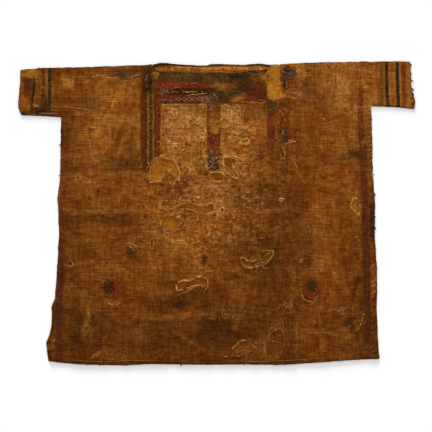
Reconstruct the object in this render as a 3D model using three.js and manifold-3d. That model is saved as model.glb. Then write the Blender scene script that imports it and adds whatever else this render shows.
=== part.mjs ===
/*
 * A Coptic tunic, laid flat: a T-shaped garment of woven wool, folded at the shoulders and sewn
 * down its sides, with short square sleeves. Tapestry pieces are sewn on its front: a yoke under
 * the neck, two clavi, a centre strip, two roundels and the rest of a shoulder ornament. The
 * front is worn through in many places, where an ochre support cloth shows inside.
 *
 * Millimetres, +Z up. The tunic lies face up on z = 0 with its hem towards -Y and its shoulders
 * towards +Y. The origin is the centre of its footprint. Left is -X, right is +X.
 *
 * From below, its layers are the back, the support cloth and the front. At the sides, shoulders
 * and sleeve edges the front turns down round the other layers to the surface.
 */
import * as THREE from "three";
import { mergeVertices } from "three/addons/utils/BufferGeometryUtils.js";
import Module from "manifold-3d";

const wasm = await Module();
wasm.setup();

// ---- Driving dimensions ----

const CLOTH = 1.6; // wall of the woven wool
const SUPPORT = 1.0; // wall of the support cloth
const TAPESTRY = 1.1; // wall of a sewn-on tapestry piece
const GAP = 0.3; // between pieces that are sewn or lie together
const ARMHOLE = { left: -587, right: 585 }; // x of the seams that join the sleeves
const UNDERARM = { left: 364, right: 405 }; // y where each sleeve's lower edge meets the body
const BACK_INSET = 4; // the back stays this far inside the front's turned edges
const CUFF_INSET = 1; // the same at a cuff
const SUPPORT_INSET = 8; // the support cloth stays this far inside the outline
const SUPPORT_NECK_INSET = 2; // and this far inside the neck's own edges
const HEM_DROP = 1.2; // the back's hem shows this far below the front's
const CALM_EDGE = 60; // the front's folds fade out over this width at its edges
const NECK_SLIT = { left: -241, right: 234 }; // where the back's edge shows over the front's
const BINDING_CLEARANCE = 1; // the support cloth stays this far from the neck's binding
const PAST_SHOULDER = 600; // y beyond the shoulder line, for cuts that run out over it

// Heights of the layers over the surface.
const SUPPORT_LOW = CLOTH + GAP;
const FRONT_LOW = SUPPORT_LOW + SUPPORT + GAP;
const FRONT_TOP = FRONT_LOW + CLOTH; // and the outer radius of a turned edge

// Cells of the panels' grids, and steps along the back's edge at the neck.
const BODY_CELLS = { across: 36, belowUnderarm: 27, aboveUnderarm: 5 };
const SLEEVE_CELLS = { along: 6, up: 7 };
const NECK_STEPS = 14;
const FLAT_STEP = 6; // height in which a turned side flattens, over an underarm

// ---- The outline, as the edges of the front ----

const SIDE_EDGES = [
  { y: -575, left: -632, right: 617 },
  { y: -523, left: -640, right: 614 },
  { y: -489, left: -643, right: 612 },
  { y: -444, left: -627, right: 609 },
  { y: -395, left: -621, right: 607 },
  { y: -353, left: -624, right: 605 },
  { y: -330, left: -612, right: 607 },
  { y: -194, left: -602, right: 606 },
  { y: -80, left: -595, right: 597 },
  { y: 56, left: -601, right: 599 },
  { y: 146, left: -591, right: 591 },
  { y: 260, left: -589, right: 588 },
  { y: 350, left: ARMHOLE.left, right: 586 },
  { y: 405, left: ARMHOLE.left, right: ARMHOLE.right },
  { y: 575, left: ARMHOLE.left, right: ARMHOLE.right },
];
const HEM_EDGE = [
  { x: -645, y: -555 },
  { x: -598, y: -563 },
  { x: -508, y: -570 },
  { x: -357, y: -574 },
  { x: -250, y: -568 },
  { x: -60, y: -571 },
  { x: 130, y: -570 },
  { x: 240, y: -572 },
  { x: 340, y: -566 },
  { x: 430, y: -559 },
  { x: 520, y: -553 },
  { x: 616, y: -548 },
];
const SHOULDER_EDGE = [
  { x: -750, y: 541 },
  { x: -659, y: 551 },
  { x: -478, y: 554 },
  { x: -357, y: 558 },
  { x: -266, y: 562 },
  { x: -195, y: 569 },
  { x: -130, y: 564 },
  { x: -62, y: 559 },
  { x: 36, y: 565 },
  { x: 100, y: 562 },
  { x: 157, y: 567 },
  { x: 210, y: 562 },
  { x: 278, y: 568 },
  { x: 368, y: 570 },
  { x: 459, y: 573 },
  { x: 693, y: 575 },
  { x: 750, y: 573 },
];
const LEFT_SLEEVE_EDGES = {
  under: [
    { x: -750, y: 373 },
    { x: -650, y: 369 },
    { x: ARMHOLE.left, y: UNDERARM.left },
  ],
  cuff: [
    { y: 370, x: -735 },
    { y: 396, x: -748 },
    { y: 418, x: -750 },
    { y: 441, x: -747 },
    { y: 486, x: -742 },
    { y: 545, x: -741 },
  ],
};
const RIGHT_SLEEVE_EDGES = {
  under: [
    { x: ARMHOLE.right, y: UNDERARM.right },
    { x: 640, y: 405 },
    { x: 693, y: 401 },
    { x: 750, y: 393 },
  ],
  cuff: [
    { y: 393, x: 747 },
    { y: 412, x: 750 },
    { y: 424, x: 750 },
    { y: 434, x: 741 },
    { y: 452, x: 743 },
    { y: 464, x: 738 },
    { y: 486, x: 737 },
    { y: 508, x: 733 },
    { y: 531, x: 735 },
    { y: 575, x: 731 },
  ],
};
// The front's neckline hangs below the back's, between the ends of the neck slit.
const FRONT_NECK = [
  { x: -244, y: 556 },
  { x: -237, y: 547 },
  { x: -225, y: 541 },
  { x: -195, y: 537 },
  { x: -100, y: 533 },
  { x: 30, y: 532 },
  { x: 110, y: 535 },
  { x: 165, y: 541 },
  { x: 190, y: 548 },
  { x: 204, y: 556 },
];
// The dark rolled binding on the back's neck edge.
const BINDING = [
  { x: -238, low: 552, high: 557 },
  { x: -225, low: 555, high: 565 },
  { x: -200, low: 559, high: 568 },
  { x: -184, low: 560, high: 568 },
  { x: -170, low: 560, high: 565 },
  { x: -60, low: 554, high: 558 },
  { x: 30, low: 559, high: 563 },
  { x: 100, low: 557, high: 561 },
  { x: 160, low: 560, high: 566 },
  { x: 190, low: 556, high: 563 },
  { x: 203, low: 554, high: 558 },
];

// ---- Soft folds of the front and sleeves: ridges (+), and troughs (-) that hollow them ----

const FOLDS = [
  { x: -430, y: 240, long: 330, wide: 150, turn: 80, rise: 1.8 },
  { x: -500, y: -20, long: 260, wide: 120, turn: 12, rise: -1.2 },
  { x: -480, y: -170, long: 380, wide: 150, turn: 96, rise: 2.0 },
  { x: -330, y: 60, long: 420, wide: 130, turn: 4, rise: 1.6 },
  { x: -280, y: -380, long: 340, wide: 140, turn: 84, rise: 2.2 },
  { x: -150, y: -120, long: 300, wide: 150, turn: 20, rise: 1.3 },
  { x: -60, y: -440, long: 360, wide: 130, turn: 100, rise: 1.8 },
  { x: 60, y: 60, long: 380, wide: 160, turn: 74, rise: 1.5 },
  { x: 120, y: -320, long: 300, wide: 140, turn: -8, rise: -1.1 },
  { x: 230, y: -120, long: 420, wide: 140, turn: 92, rise: 2.0 },
  { x: 330, y: 330, long: 300, wide: 150, turn: 60, rise: 1.4 },
  { x: 410, y: -60, long: 460, wide: 120, turn: 124, rise: 2.1 },
  { x: 400, y: -430, long: 360, wide: 130, turn: 82, rise: 2.3 },
  { x: 500, y: 210, long: 380, wide: 120, turn: 96, rise: 1.6 },
  { x: 520, y: -300, long: 260, wide: 110, turn: 70, rise: 1.5 },
  { x: -668, y: 470, long: 190, wide: 100, turn: 86, rise: 1.2 },
  { x: 660, y: 490, long: 190, wide: 100, turn: 92, rise: 1.3 },
];

// ---- Tapestry pieces: each is a run of sections, across (x) or up (y) the front ----

const YOKE = [
  { x: -238, low: 459, high: 544 },
  { x: -210.4, low: 459, high: 537 },
  { x: -210, low: 417, high: 536 },
  { x: -100, low: 416, high: 531 },
  { x: 30, low: 417, high: 530 },
  { x: 100, low: 419, high: 532 },
  { x: 160, low: 420, high: 538 },
  { x: 189, low: 422, high: 545 },
];
const CLAVUS_LEFT = [
  { y: 556, left: -284, right: -247 },
  { y: 500, left: -285, right: -240 },
  { y: 458.7, left: -286, right: -240 },
  { y: 458.2, left: -286, right: -211 },
  { y: 222, left: -288, right: -213 },
  { y: 208, left: -285, right: -238 },
  { y: 168, left: -279, right: -252 },
];
const CENTRE_STRIP = [
  { y: 413, left: -37, right: 13 },
  { y: 354, left: -36, right: 15 },
  { y: 250, left: -35, right: 14 },
  { y: 180, left: -33, right: 11 },
  { y: 160, left: -26, right: 4 },
];
const CLAVUS_RIGHT = [
  { y: 425, left: 191, right: 270 },
  { y: 330, left: 190, right: 273 },
  { y: 262, left: 190, right: 272 },
  { y: 232, left: 196, right: 268 },
  { y: 204, left: 203, right: 260 },
];
const SHOULDER_ORNAMENT = [
  { y: 561, left: 246, right: 268 },
  { y: 552, left: 243, right: 296 },
  { y: 530, left: 245, right: 303 },
  { y: 511, left: 248, right: 291 },
  { y: 505, left: 250, right: 270 },
  { y: 474, left: 254, right: 269 },
];
const ROUNDELS = {
  roundel_left: { x: -392, y: -283, long: 78, wide: 78 },
  roundel_right: { x: 360, y: -280, long: 70, wide: 86 },
};
const ROUNDEL_SIDES = 28;

// ---- Losses: the places where the front is worn through ----

const LOSSES = {
  by_left_clavus: [
    { x: -246, low: 122, high: 186 },
    { x: -240, low: 120, high: 203 },
    { x: -221, low: 119, high: 210 },
    { x: -206, low: 124, high: 209 },
    { x: -200, low: 161, high: 207 },
    { x: -187, low: 167, high: 206 },
    { x: -168, low: 148, high: 201 },
    { x: -157, low: 134, high: 192 },
    { x: -145, low: 129, high: 166 },
    { x: -138, low: 148, high: 156 },
  ],
  in_centre_strip: [
    { x: -26, low: 327, high: 343 },
    { x: -17, low: 307, high: 350 },
    { x: -2, low: 301, high: 348 },
    { x: 9, low: 312, high: 346 },
    { x: 17, low: 327, high: 354 },
    { x: 36, low: 328, high: 360 },
    { x: 47, low: 346, high: 357 },
  ],
  below_centre_strip: [
    { x: -26, low: 137, high: 146 },
    { x: -20, low: 126, high: 152 },
    { x: 2, low: 123, high: 154 },
    { x: 21, low: 124, high: 149 },
    { x: 27, low: 130, high: 139 },
  ],
  right_of_centre: [
    { x: 28, low: 197, high: 209 },
    { x: 40, low: 177, high: 211 },
    { x: 55, low: 161, high: 209 },
    { x: 66, low: 173, high: 205 },
    { x: 74, low: 192, high: 201 },
  ],
  curved_tear: [
    { x: -155, low: 15, high: 22 },
    { x: -138, low: 17, high: 31 },
    { x: -115, low: 20, high: 40 },
    { x: -93, low: 17, high: 41 },
    { x: -74, low: 12, high: 29 },
    { x: -58, low: 3, high: 25 },
    { x: -36, low: -3, high: 30 },
    { x: -17, low: 5, high: 35 },
    { x: -9, low: 17, high: 29 },
  ],
  below_tear: [
    { x: -208, low: -46, high: -31 },
    { x: -198, low: -60, high: -10 },
    { x: -180, low: -64, high: -5 },
    { x: -160, low: -61, high: -10 },
    { x: -146, low: -50, high: -18 },
    { x: -138, low: -35, high: -24 },
  ],
  slanting_tear: [
    { x: -149, low: -290, high: -264 },
    { x: -122, low: -283, high: -256 },
    { x: -96, low: -272, high: -257 },
    { x: -78, low: -268, high: -243 },
    { x: -62, low: -266, high: -238 },
    { x: -45, low: -277, high: -246 },
    { x: -38, low: -265, high: -252 },
  ],
  crescent: [
    { x: 96, low: -179, high: -167 },
    { x: 111, low: -200, high: -179 },
    { x: 134, low: -202, high: -184 },
    { x: 160, low: -197, high: -178 },
    { x: 183, low: -193, high: -161 },
    { x: 202, low: -168, high: -144 },
    { x: 213, low: -155, high: -143 },
  ],
  hem_arch: [
    { x: 55, low: -538, high: -526 },
    { x: 70, low: -538, high: -500 },
    { x: 93, low: -533, high: -483 },
    { x: 119, low: -522, high: -477 },
    { x: 142, low: -516, high: -488 },
    { x: 153, low: -507, high: -496 },
  ],
  hem_strip: [
    { x: 187, low: -530, high: -499 },
    { x: 202, low: -538, high: -458 },
    { x: 225, low: -539, high: -443 },
    { x: 244, low: -533, high: -435 },
    { x: 253, low: -515, high: -462 },
  ],
  by_right_band: [
    { x: 514, low: 24, high: 46 },
    { x: 522, low: 7, high: 55 },
    { x: 532, low: 0, high: 49 },
    { x: 541, low: -8, high: 17 },
  ],
};
// This loss runs out over the shoulder at the right end of the neck.
const SHOULDER_LOSS = [
  { x: 144, low: 513, high: 518 },
  { x: 166, low: 506, high: 523 },
  { x: 184, low: 502, high: 527 },
  { x: 191, low: 437, high: 538 },
  { x: 203, low: 431, high: PAST_SHOULDER },
  { x: 221, low: 429, high: PAST_SHOULDER },
  { x: 235, low: 431, high: PAST_SHOULDER },
  { x: 243, low: 437, high: 505 },
  { x: 249, low: 438, high: 464 },
  { x: 277, low: 439, high: 454 },
  { x: 301, low: 441, high: 448 },
];
const TEARS = [
  { x: -157, y: 384, long: 22, wide: 9, turn: 70 },
  { x: -72, y: 345, long: 13, wide: 8, turn: 10 },
  { x: -155, y: 247, long: 20, wide: 9, turn: -5 },
  { x: -54, y: 311, long: 26, wide: 6, turn: 3 },
  { x: -108, y: 165, long: 13, wide: 9, turn: 60 },
  { x: -164, y: 118, long: 17, wide: 8, turn: 40 },
  { x: -120, y: 79, long: 14, wide: 11, turn: 20 },
  { x: -132, y: -26, long: 11, wide: 10, turn: 0 },
  { x: -89, y: -36, long: 20, wide: 8, turn: 35 },
  { x: 22, y: 14, long: 15, wide: 12, turn: 80 },
  { x: 0, y: -80, long: 24, wide: 10, turn: 10 },
  { x: -243, y: -116, long: 36, wide: 7, turn: 86 },
  { x: 108, y: 273, long: 24, wide: 15, turn: 20 },
  { x: 71, y: 150, long: 28, wide: 8, turn: -50 },
  { x: -318, y: -122, long: 27, wide: 6, turn: -25 },
  { x: -552, y: -190, long: 13, wide: 10, turn: 80 },
  { x: -490, y: -436, long: 26, wide: 17, turn: 60 },
  { x: 323, y: -180, long: 12, wide: 7, turn: 30 },
  { x: 245, y: 52, long: 14, wide: 8, turn: 0 },
  { x: 468, y: -362, long: 38, wide: 7, turn: 8 },
  { x: 540, y: -420, long: 46, wide: 10, turn: 62 },
  { x: -30, y: -390, long: 24, wide: 7, turn: -12 },
  { x: 70, y: -392, long: 15, wide: 6, turn: 85 },
  { x: 274, y: -355, long: 22, wide: 8, turn: 40 },
  { x: -452, y: -534, long: 27, wide: 6, turn: 40 },
  { x: 532, y: -92, long: 16, wide: 8, turn: -60 },
];
const TEAR_SIDES = 8;

// ---- Tables as curves ----

const mix = (a, b, share) => a + (b - a) * share;
const smooth = (t) => t * t * (3 - 2 * t);
const clamp01 = (t) => Math.min(1, Math.max(0, t));
const steps = (from, to, count) =>
  Array.from({ length: count + 1 }, (_, k) => mix(from, to, k / count));

// A table's column at a place along it; keys rise or fall from row to row.
function read(table, key, column, at) {
  const last = table[table.length - 1];
  const rising = last[key] > table[0][key];
  const next = table.findIndex((row) => (rising ? row[key] >= at : row[key] <= at));
  if (next === 0) return table[0][column];
  if (next < 0) return last[column];
  const [a, b] = [table[next - 1], table[next]];
  return mix(a[column], b[column], (at - a[key]) / (b[key] - a[key]));
}
const shoulderAt = (x) => read(SHOULDER_EDGE, "x", "y", x);

// How far the folds raise the front, at a distance from its nearest calm edge.
function relief(x, y, edgeDistance) {
  let rise = 0;
  for (const fold of FOLDS) {
    const turn = THREE.MathUtils.degToRad(fold.turn);
    const along = (x - fold.x) * Math.cos(turn) + (y - fold.y) * Math.sin(turn);
    const across = (y - fold.y) * Math.cos(turn) - (x - fold.x) * Math.sin(turn);
    const reach = Math.hypot(along / (fold.long / 2), across / (fold.wide / 2));
    rise += fold.rise * smooth(clamp01(1 - reach));
  }
  return Math.max(0, rise) * smooth(clamp01(edgeDistance / CALM_EDGE));
}

// ---- Panels: four edges, and stations across and up between them ----

// A panel's low and high edges give y by x, and its left and right ones x by y. At a turned edge
// the cells stop a margin short, and the rolls lead from there down to the surface.
const ROLL = [90, 60, 30].map((angle) => THREE.MathUtils.degToRad(angle));
const stations = (shares, firstEdge, lastEdge) => [
  ...(firstEdge ? ROLL.map((angle) => ({ share: 0, edge: firstEdge, angle })) : []),
  ...shares.map((share) => ({ share })),
  ...(lastEdge ? [...ROLL].reverse().map((angle) => ({ share: 1, edge: lastEdge, angle })) : []),
];

const body = {
  low: (x) => read(HEM_EDGE, "x", "y", x),
  high: shoulderAt,
  left: (y) => read(SIDE_EDGES, "y", "left", y) + GAP / 2,
  right: (y) => read(SIDE_EDGES, "y", "right", y) - GAP / 2,
  margin: { left: FRONT_TOP, right: FRONT_TOP, low: 0, high: FRONT_TOP },
  calmEdges: ["left", "right", "high"],
};
// A height beside an armhole, as a share of the body's height there.
function bodyShare(side, y) {
  const foot = body.low(ARMHOLE[side]);
  return (y - foot) / (body.high(ARMHOLE[side]) - FRONT_TOP - foot);
}
// The sides are turned up to the underarms, and flat beside the sleeves.
body.turnedTo = {
  left: bodyShare("left", UNDERARM.left),
  right: bodyShare("right", UNDERARM.right),
  high: 1,
};
body.columns = stations(steps(0, 1, BODY_CELLS.across), "left", "right");
body.rows = stations(
  [
    ...steps(0, body.turnedTo.left, BODY_CELLS.belowUnderarm),
    bodyShare("left", UNDERARM.left + FLAT_STEP),
    body.turnedTo.right,
    ...steps(bodyShare("right", UNDERARM.right + FLAT_STEP), 1, BODY_CELLS.aboveUnderarm),
  ],
  null,
  "high",
);

function sleeve(side, edges) {
  const cuff = (y) => read(edges.cuff, "y", "x", y);
  const seam = () => ARMHOLE[side] + (side === "left" ? -GAP : GAP) / 2;
  return {
    low: (x) => read(edges.under, "x", "y", x),
    high: shoulderAt,
    left: side === "left" ? cuff : seam,
    right: side === "left" ? seam : cuff,
    margin: { left: 0, right: 0, low: FRONT_TOP, high: FRONT_TOP },
    calmEdges: ["low", "high", side === "left" ? "right" : "left"],
    turnedTo: { low: 1, high: 1 },
    columns: stations(steps(0, 1, SLEEVE_CELLS.along)),
    rows: stations(steps(0, 1, SLEEVE_CELLS.up), "low", "high"),
    backInset: {
      low: BACK_INSET,
      high: BACK_INSET,
      left: side === "left" ? CUFF_INSET : 0,
      right: side === "right" ? CUFF_INSET : 0,
    },
  };
}
const sleeves = {
  left: sleeve("left", LEFT_SLEEVE_EDGES),
  right: sleeve("right", RIGHT_SLEEVE_EDGES),
};

// The plan point at shares across and up a panel, whose edges are drawn in by an inset each. The
// edges depend on each other, so x and y are found by turns.
const PLAN_TURNS = 3;
function planPoint(panel, across, up, inset) {
  let [x, y] = [mix(panel.left(0), panel.right(0), across), 0];
  for (let turn = 0; turn < PLAN_TURNS; turn++) {
    y = mix(panel.low(x) + inset.low, panel.high(x) - inset.high, up);
    x = mix(panel.left(y) + inset.left, panel.right(y) - inset.right, across);
  }
  return [x, y];
}

// How far a point of a turned edge lies in from the edge, and its height, for a layer at an offset
// from the outer face. Where the edge isn't turned, the same points lie flat.
function rolled(angle, offset, turned) {
  const radius = FRONT_TOP + offset;
  return turned
    ? { inward: FRONT_TOP - radius * Math.sin(angle), z: radius * Math.cos(angle) }
    : { inward: FRONT_TOP * (1 - angle / ROLL[0]), z: radius };
}

// A point of a panel's front, on the layer at an offset from its outer face.
function frontPoint(panel, i, j, offset) {
  const [column, row] = [panel.columns[i], panel.rows[j]];
  const inset = { ...panel.margin };
  let z = null;
  for (const station of [column, row]) {
    if (!station.edge) continue;
    const turned = row.share <= panel.turnedTo[station.edge];
    const roll = rolled(station.angle, offset, turned);
    inset[station.edge] = roll.inward;
    z = roll.z;
  }
  const [x, y] = planPoint(panel, column.share, row.share, inset);
  if (z !== null) return [x, y, z];
  const distance = {
    low: y - panel.low(x),
    high: panel.high(x) - y,
    left: x - panel.left(y),
    right: panel.right(y) - x,
  };
  const nearest = Math.min(...panel.calmEdges.map((edge) => distance[edge]));
  return [x, y, FRONT_TOP + offset + relief(x, y, nearest - FRONT_TOP)];
}

// ---- Solids ----

function toSolid(geometry) {
  geometry.deleteAttribute("normal");
  geometry.deleteAttribute("uv");
  const merged = mergeVertices(geometry, 1e-4);
  return new wasm.Manifold(
    new wasm.Mesh({
      numProp: 3,
      vertProperties: merged.attributes.position.array,
      triVerts: new Uint32Array(merged.index.array),
    }),
  );
}

function toGeometry(solid) {
  const mesh = solid.getMesh();
  return new THREE.BufferGeometry()
    .setAttribute("position", new THREE.BufferAttribute(mesh.vertProperties, 3))
    .setIndex(new THREE.BufferAttribute(mesh.triVerts, 1));
}

// A straight-sided solid over a plan outline, from z = low to z = high.
function prism(points, low, high) {
  const shape = new THREE.Shape(points.map(([x, y]) => new THREE.Vector2(x, y)));
  const geometry = new THREE.ExtrudeGeometry(shape, { depth: high - low, bevelEnabled: false });
  return toSolid(geometry.translate(0, 0, low));
}
// One that reaches past both faces of the tunic.
const CUTTER = { low: -10, high: 30 };
const cutter = (points) => prism(points, CUTTER.low, CUTTER.high);

// Outlines from sections across the tunic (x, low, high) and up it (y, left, right).
const acrossOutline = (rows) => [
  ...rows.map((row) => [row.x, row.high]),
  ...[...rows].reverse().map((row) => [row.x, row.low]),
];
const upOutline = (rows) => [
  ...rows.map((row) => [row.left, row.y]),
  ...[...rows].reverse().map((row) => [row.right, row.y]),
];

function ovalOutline({ x, y, long, wide, turn = 0 }, sides) {
  const tilt = THREE.MathUtils.degToRad(turn);
  return Array.from({ length: sides }, (_, k) => {
    const angle = (2 * Math.PI * k) / sides;
    const [along, across] = [(long / 2) * Math.cos(angle), (wide / 2) * Math.sin(angle)];
    return [
      x + along * Math.cos(tilt) - across * Math.sin(tilt),
      y + along * Math.sin(tilt) + across * Math.cos(tilt),
    ];
  });
}

// A panel's front as a closed wall between two of its layers.
function frontWall(panel, lowOffset, highOffset) {
  const [columns, rows] = [panel.columns.length, panel.rows.length];
  const points = [];
  for (const offset of [highOffset, lowOffset])
    for (let j = 0; j < rows; j++)
      for (let i = 0; i < columns; i++) points.push(...frontPoint(panel, i, j, offset));
  const top = (i, j) => j * columns + i;
  const bottom = (i, j) => columns * rows + top(i, j);
  const faces = [];
  const quad = (a, b, c, d) => faces.push(a, b, c, a, c, d);
  for (let j = 0; j < rows - 1; j++)
    for (let i = 0; i < columns - 1; i++) {
      quad(top(i, j), top(i + 1, j), top(i + 1, j + 1), top(i, j + 1));
      quad(bottom(i, j), bottom(i, j + 1), bottom(i + 1, j + 1), bottom(i + 1, j));
    }
  const [lastColumn, lastRow] = [columns - 1, rows - 1];
  for (let i = 0; i < lastColumn; i++) {
    quad(top(i, 0), bottom(i, 0), bottom(i + 1, 0), top(i + 1, 0));
    quad(top(i + 1, lastRow), bottom(i + 1, lastRow), bottom(i, lastRow), top(i, lastRow));
  }
  for (let j = 0; j < lastRow; j++) {
    quad(top(0, j + 1), bottom(0, j + 1), bottom(0, j), top(0, j));
    quad(top(lastColumn, j), bottom(lastColumn, j), bottom(lastColumn, j + 1), top(lastColumn, j + 1));
  }
  const geometry = new THREE.BufferGeometry()
    .setAttribute("position", new THREE.BufferAttribute(new Float32Array(points), 3))
    .setIndex(faces);
  return toSolid(geometry);
}

// The four sides of a flat layer's outline, each in turn round the panel.
function flatSides(panel, inset) {
  const across = panel.columns.filter((column) => !column.edge).map((column) => column.share);
  const up = panel.rows.filter((row) => !row.edge).map((row) => row.share);
  // Past the end of a turned side, a layer meets the seam.
  const sideInset = (side, share) => ({
    ...inset,
    [side]: share > (panel.turnedTo[side] ?? 1) ? inset.seam : inset[side],
  });
  return {
    low: across.map((share) => planPoint(panel, share, 0, inset)),
    right: up.map((share) => planPoint(panel, 1, share, sideInset("right", share))),
    high: across.map((share) => planPoint(panel, share, 1, inset)).reverse(),
    left: up.map((share) => planPoint(panel, 0, share, sideInset("left", share))).reverse(),
  };
}
// Each side starts where the last one ended.
const joined = (...sides) => sides.flatMap((side) => side.slice(1));

// A flat layer of the body, whose upper edge follows the given points, right to left, at the neck.
function flatBody(low, thickness, inset, neckEdge) {
  const sides = flatSides(body, inset);
  const [neckRight, neckLeft] = [neckEdge[0][0], neckEdge[neckEdge.length - 1][0]];
  const high = [
    ...sides.high.filter(([x]) => x > neckRight),
    ...neckEdge,
    ...sides.high.filter(([x]) => x < neckLeft),
  ];
  return prism(joined(sides.low, sides.right, high, sides.left), low, low + thickness);
}

function sleeveBack(panel) {
  const sides = flatSides(panel, panel.backInset);
  return prism(joined(sides.low, sides.right, sides.high, sides.left), 0, CLOTH);
}

// ---- Assembly ----

const tunic = new THREE.Group();
const wool = { color: 0x6e4217, roughness: 0.95 };
const ochre = { color: 0x9a6a20, roughness: 0.92 };
const madder = { color: 0x5a2218, roughness: 0.95 };
const indigoBrown = { color: 0x3a3020, roughness: 0.95 };

function add(name, solid, finish) {
  const material = new THREE.MeshStandardMaterial({ ...finish, metalness: 0 });
  const mesh = new THREE.Mesh(toGeometry(solid), material);
  mesh.name = name;
  tunic.add(mesh);
}

// In the neck slit the back's edge reaches the shoulder line.
const slitEnd = (side, inset) => [NECK_SLIT[side], shoulderAt(NECK_SLIT[side]) - inset];
const backNeck = [
  slitEnd("right", BACK_INSET),
  ...steps(NECK_SLIT.right, NECK_SLIT.left, NECK_STEPS).map((x) => [x, shoulderAt(x)]),
  slitEnd("left", BACK_INSET),
];
const backInset = {
  left: BACK_INSET,
  right: BACK_INSET,
  low: -HEM_DROP,
  high: BACK_INSET,
  seam: 0,
};
add("back_body", flatBody(0, CLOTH, backInset, backNeck), wool);

// The support cloth's edge is just inside the back's, and below the binding where there is one.
const bindingEnd = BINDING[BINDING.length - 1];
const supportNeck = [
  slitEnd("right", SUPPORT_INSET),
  slitEnd("right", SUPPORT_NECK_INSET),
  [bindingEnd.x + BINDING_CLEARANCE, shoulderAt(bindingEnd.x) - SUPPORT_NECK_INSET],
  [bindingEnd.x + BINDING_CLEARANCE, bindingEnd.low - BINDING_CLEARANCE],
  ...[...BINDING].reverse().map((row) => [row.x, row.low - BINDING_CLEARANCE]),
];
const supportInset = {
  left: SUPPORT_INSET,
  right: SUPPORT_INSET,
  low: SUPPORT_INSET,
  high: SUPPORT_INSET,
  seam: SUPPORT_INSET,
};
add("support_cloth", flatBody(SUPPORT_LOW, SUPPORT, supportInset, supportNeck), ochre);
add("neck_binding", prism(acrossOutline(BINDING), SUPPORT_LOW, SUPPORT_LOW + CLOTH), indigoBrown);

const losses = [
  ...Object.values(LOSSES).map((rows) => cutter(acrossOutline(rows))),
  cutter(acrossOutline(SHOULDER_LOSS)),
  ...TEARS.map((tear) => cutter(ovalOutline(tear, TEAR_SIDES))),
].reduce((all, one) => all.add(one));
const neckCut = cutter([
  ...FRONT_NECK.map((row) => [row.x, row.y]),
  [FRONT_NECK[FRONT_NECK.length - 1].x, PAST_SHOULDER],
  [FRONT_NECK[0].x, PAST_SHOULDER],
]);
add("front_body", frontWall(body, -CLOTH, 0).subtract(neckCut).subtract(losses), wool);
for (const [side, panel] of Object.entries(sleeves)) {
  add(`sleeve_${side}_front`, frontWall(panel, -CLOTH, 0), wool);
  add(`sleeve_${side}_back`, sleeveBack(panel), wool);
}

// Each tapestry piece is the front's own surface, moved out and trimmed to the piece's outline.
const tapestryLayer = frontWall(body, GAP, GAP + TAPESTRY).subtract(losses);
const trimmed = (outline) => tapestryLayer.intersect(cutter(outline));
add("yoke", trimmed(acrossOutline(YOKE)), indigoBrown);
add("clavus_left", trimmed(upOutline(CLAVUS_LEFT)), madder);
add("clavus_right", trimmed(upOutline(CLAVUS_RIGHT)), madder);
add("centre_strip", trimmed(upOutline(CENTRE_STRIP)), madder);
add("shoulder_ornament", trimmed(upOutline(SHOULDER_ORNAMENT)), indigoBrown);
for (const [name, roundel] of Object.entries(ROUNDELS))
  add(name, trimmed(ovalOutline(roundel, ROUNDEL_SIDES)), madder);

export default tunic;
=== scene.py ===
"""A Coptic tunic laid flat: worn wool, its tapestry pieces and the modern cloth under its losses.

Every place in the tables below is a pixel of the photograph, which looks straight down on the tunic.
metres() turns such a place into a point of the frame that the CAD model was packed in.
"""

import math

import bmesh
import bpy
import numpy as np
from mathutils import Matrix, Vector
from mathutils.bvhtree import BVHTree
from mathutils.geometry import delaunay_2d_cdt
from mathutils.kdtree import KDTree


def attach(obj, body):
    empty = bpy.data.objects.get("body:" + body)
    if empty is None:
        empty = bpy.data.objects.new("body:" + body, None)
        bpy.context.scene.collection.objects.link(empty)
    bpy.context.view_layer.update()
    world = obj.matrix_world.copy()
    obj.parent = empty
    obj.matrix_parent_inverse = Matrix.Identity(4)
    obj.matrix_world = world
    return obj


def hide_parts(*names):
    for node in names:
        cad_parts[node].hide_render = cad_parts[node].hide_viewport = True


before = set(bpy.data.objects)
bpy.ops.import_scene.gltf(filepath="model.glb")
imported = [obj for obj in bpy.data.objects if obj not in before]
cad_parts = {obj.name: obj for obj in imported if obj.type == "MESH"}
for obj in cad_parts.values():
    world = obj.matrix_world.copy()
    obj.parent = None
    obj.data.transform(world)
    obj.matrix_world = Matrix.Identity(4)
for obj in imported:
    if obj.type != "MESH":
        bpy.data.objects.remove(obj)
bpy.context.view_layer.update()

MM = 0.001
PIXEL = 3.778 * MM  # the size on the tunic of one pixel of the photograph
ORIGIN_X, ORIGIN_Y = 216.5, 213.5  # the pixel that shows the frame's origin


def metres(px, py):
    return (px - ORIGIN_X) * PIXEL, (ORIGIN_Y - py) * PIXEL


def pixels(points):
    return points[:, 0] / PIXEL + ORIGIN_X, ORIGIN_Y - points[:, 1] / PIXEL


# ---- Colours -------------------------------------------------------------------------------------

FLOOR_GAIN = 1.12  # how much brighter than its own colour a surface shows in the studio's light


def linear(red, green, blue):
    """A colour as a screen shows it, from 0 to 255, as the light that it sends back."""
    shown = np.array([red, green, blue]) / 255
    return np.where(shown <= 0.04045, shown / 12.92, ((shown + 0.055) / 1.055) ** 2.4) / FLOOR_GAIN


DYES = {
    "brown": linear(115, 60, 12),
    "umber": linear(53, 23, 3),
    "russet": linear(108, 48, 10),
    "gold": linear(166, 101, 36),
    "honey": linear(150, 90, 16),
    "ochre": linear(168, 106, 30),
    "amber": linear(178, 104, 16),
    "straw": linear(220, 160, 90),
    "slate": linear(58, 46, 30),
    "soot": linear(42, 27, 13),
    "bottle": linear(66, 48, 20),
    "leaf": linear(98, 68, 20),
    "madder": linear(112, 42, 16),
    "rose": linear(128, 50, 26),
    "wine": linear(86, 34, 13),
    "plum": linear(60, 30, 18),
    "blush": linear(190, 142, 110),
    "ash": linear(150, 140, 128),
}

# How strongly red, green and blue follow a change of shade: darker wool is redder.
DEPTHS = (0.82, 1.25, 1.8)

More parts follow.
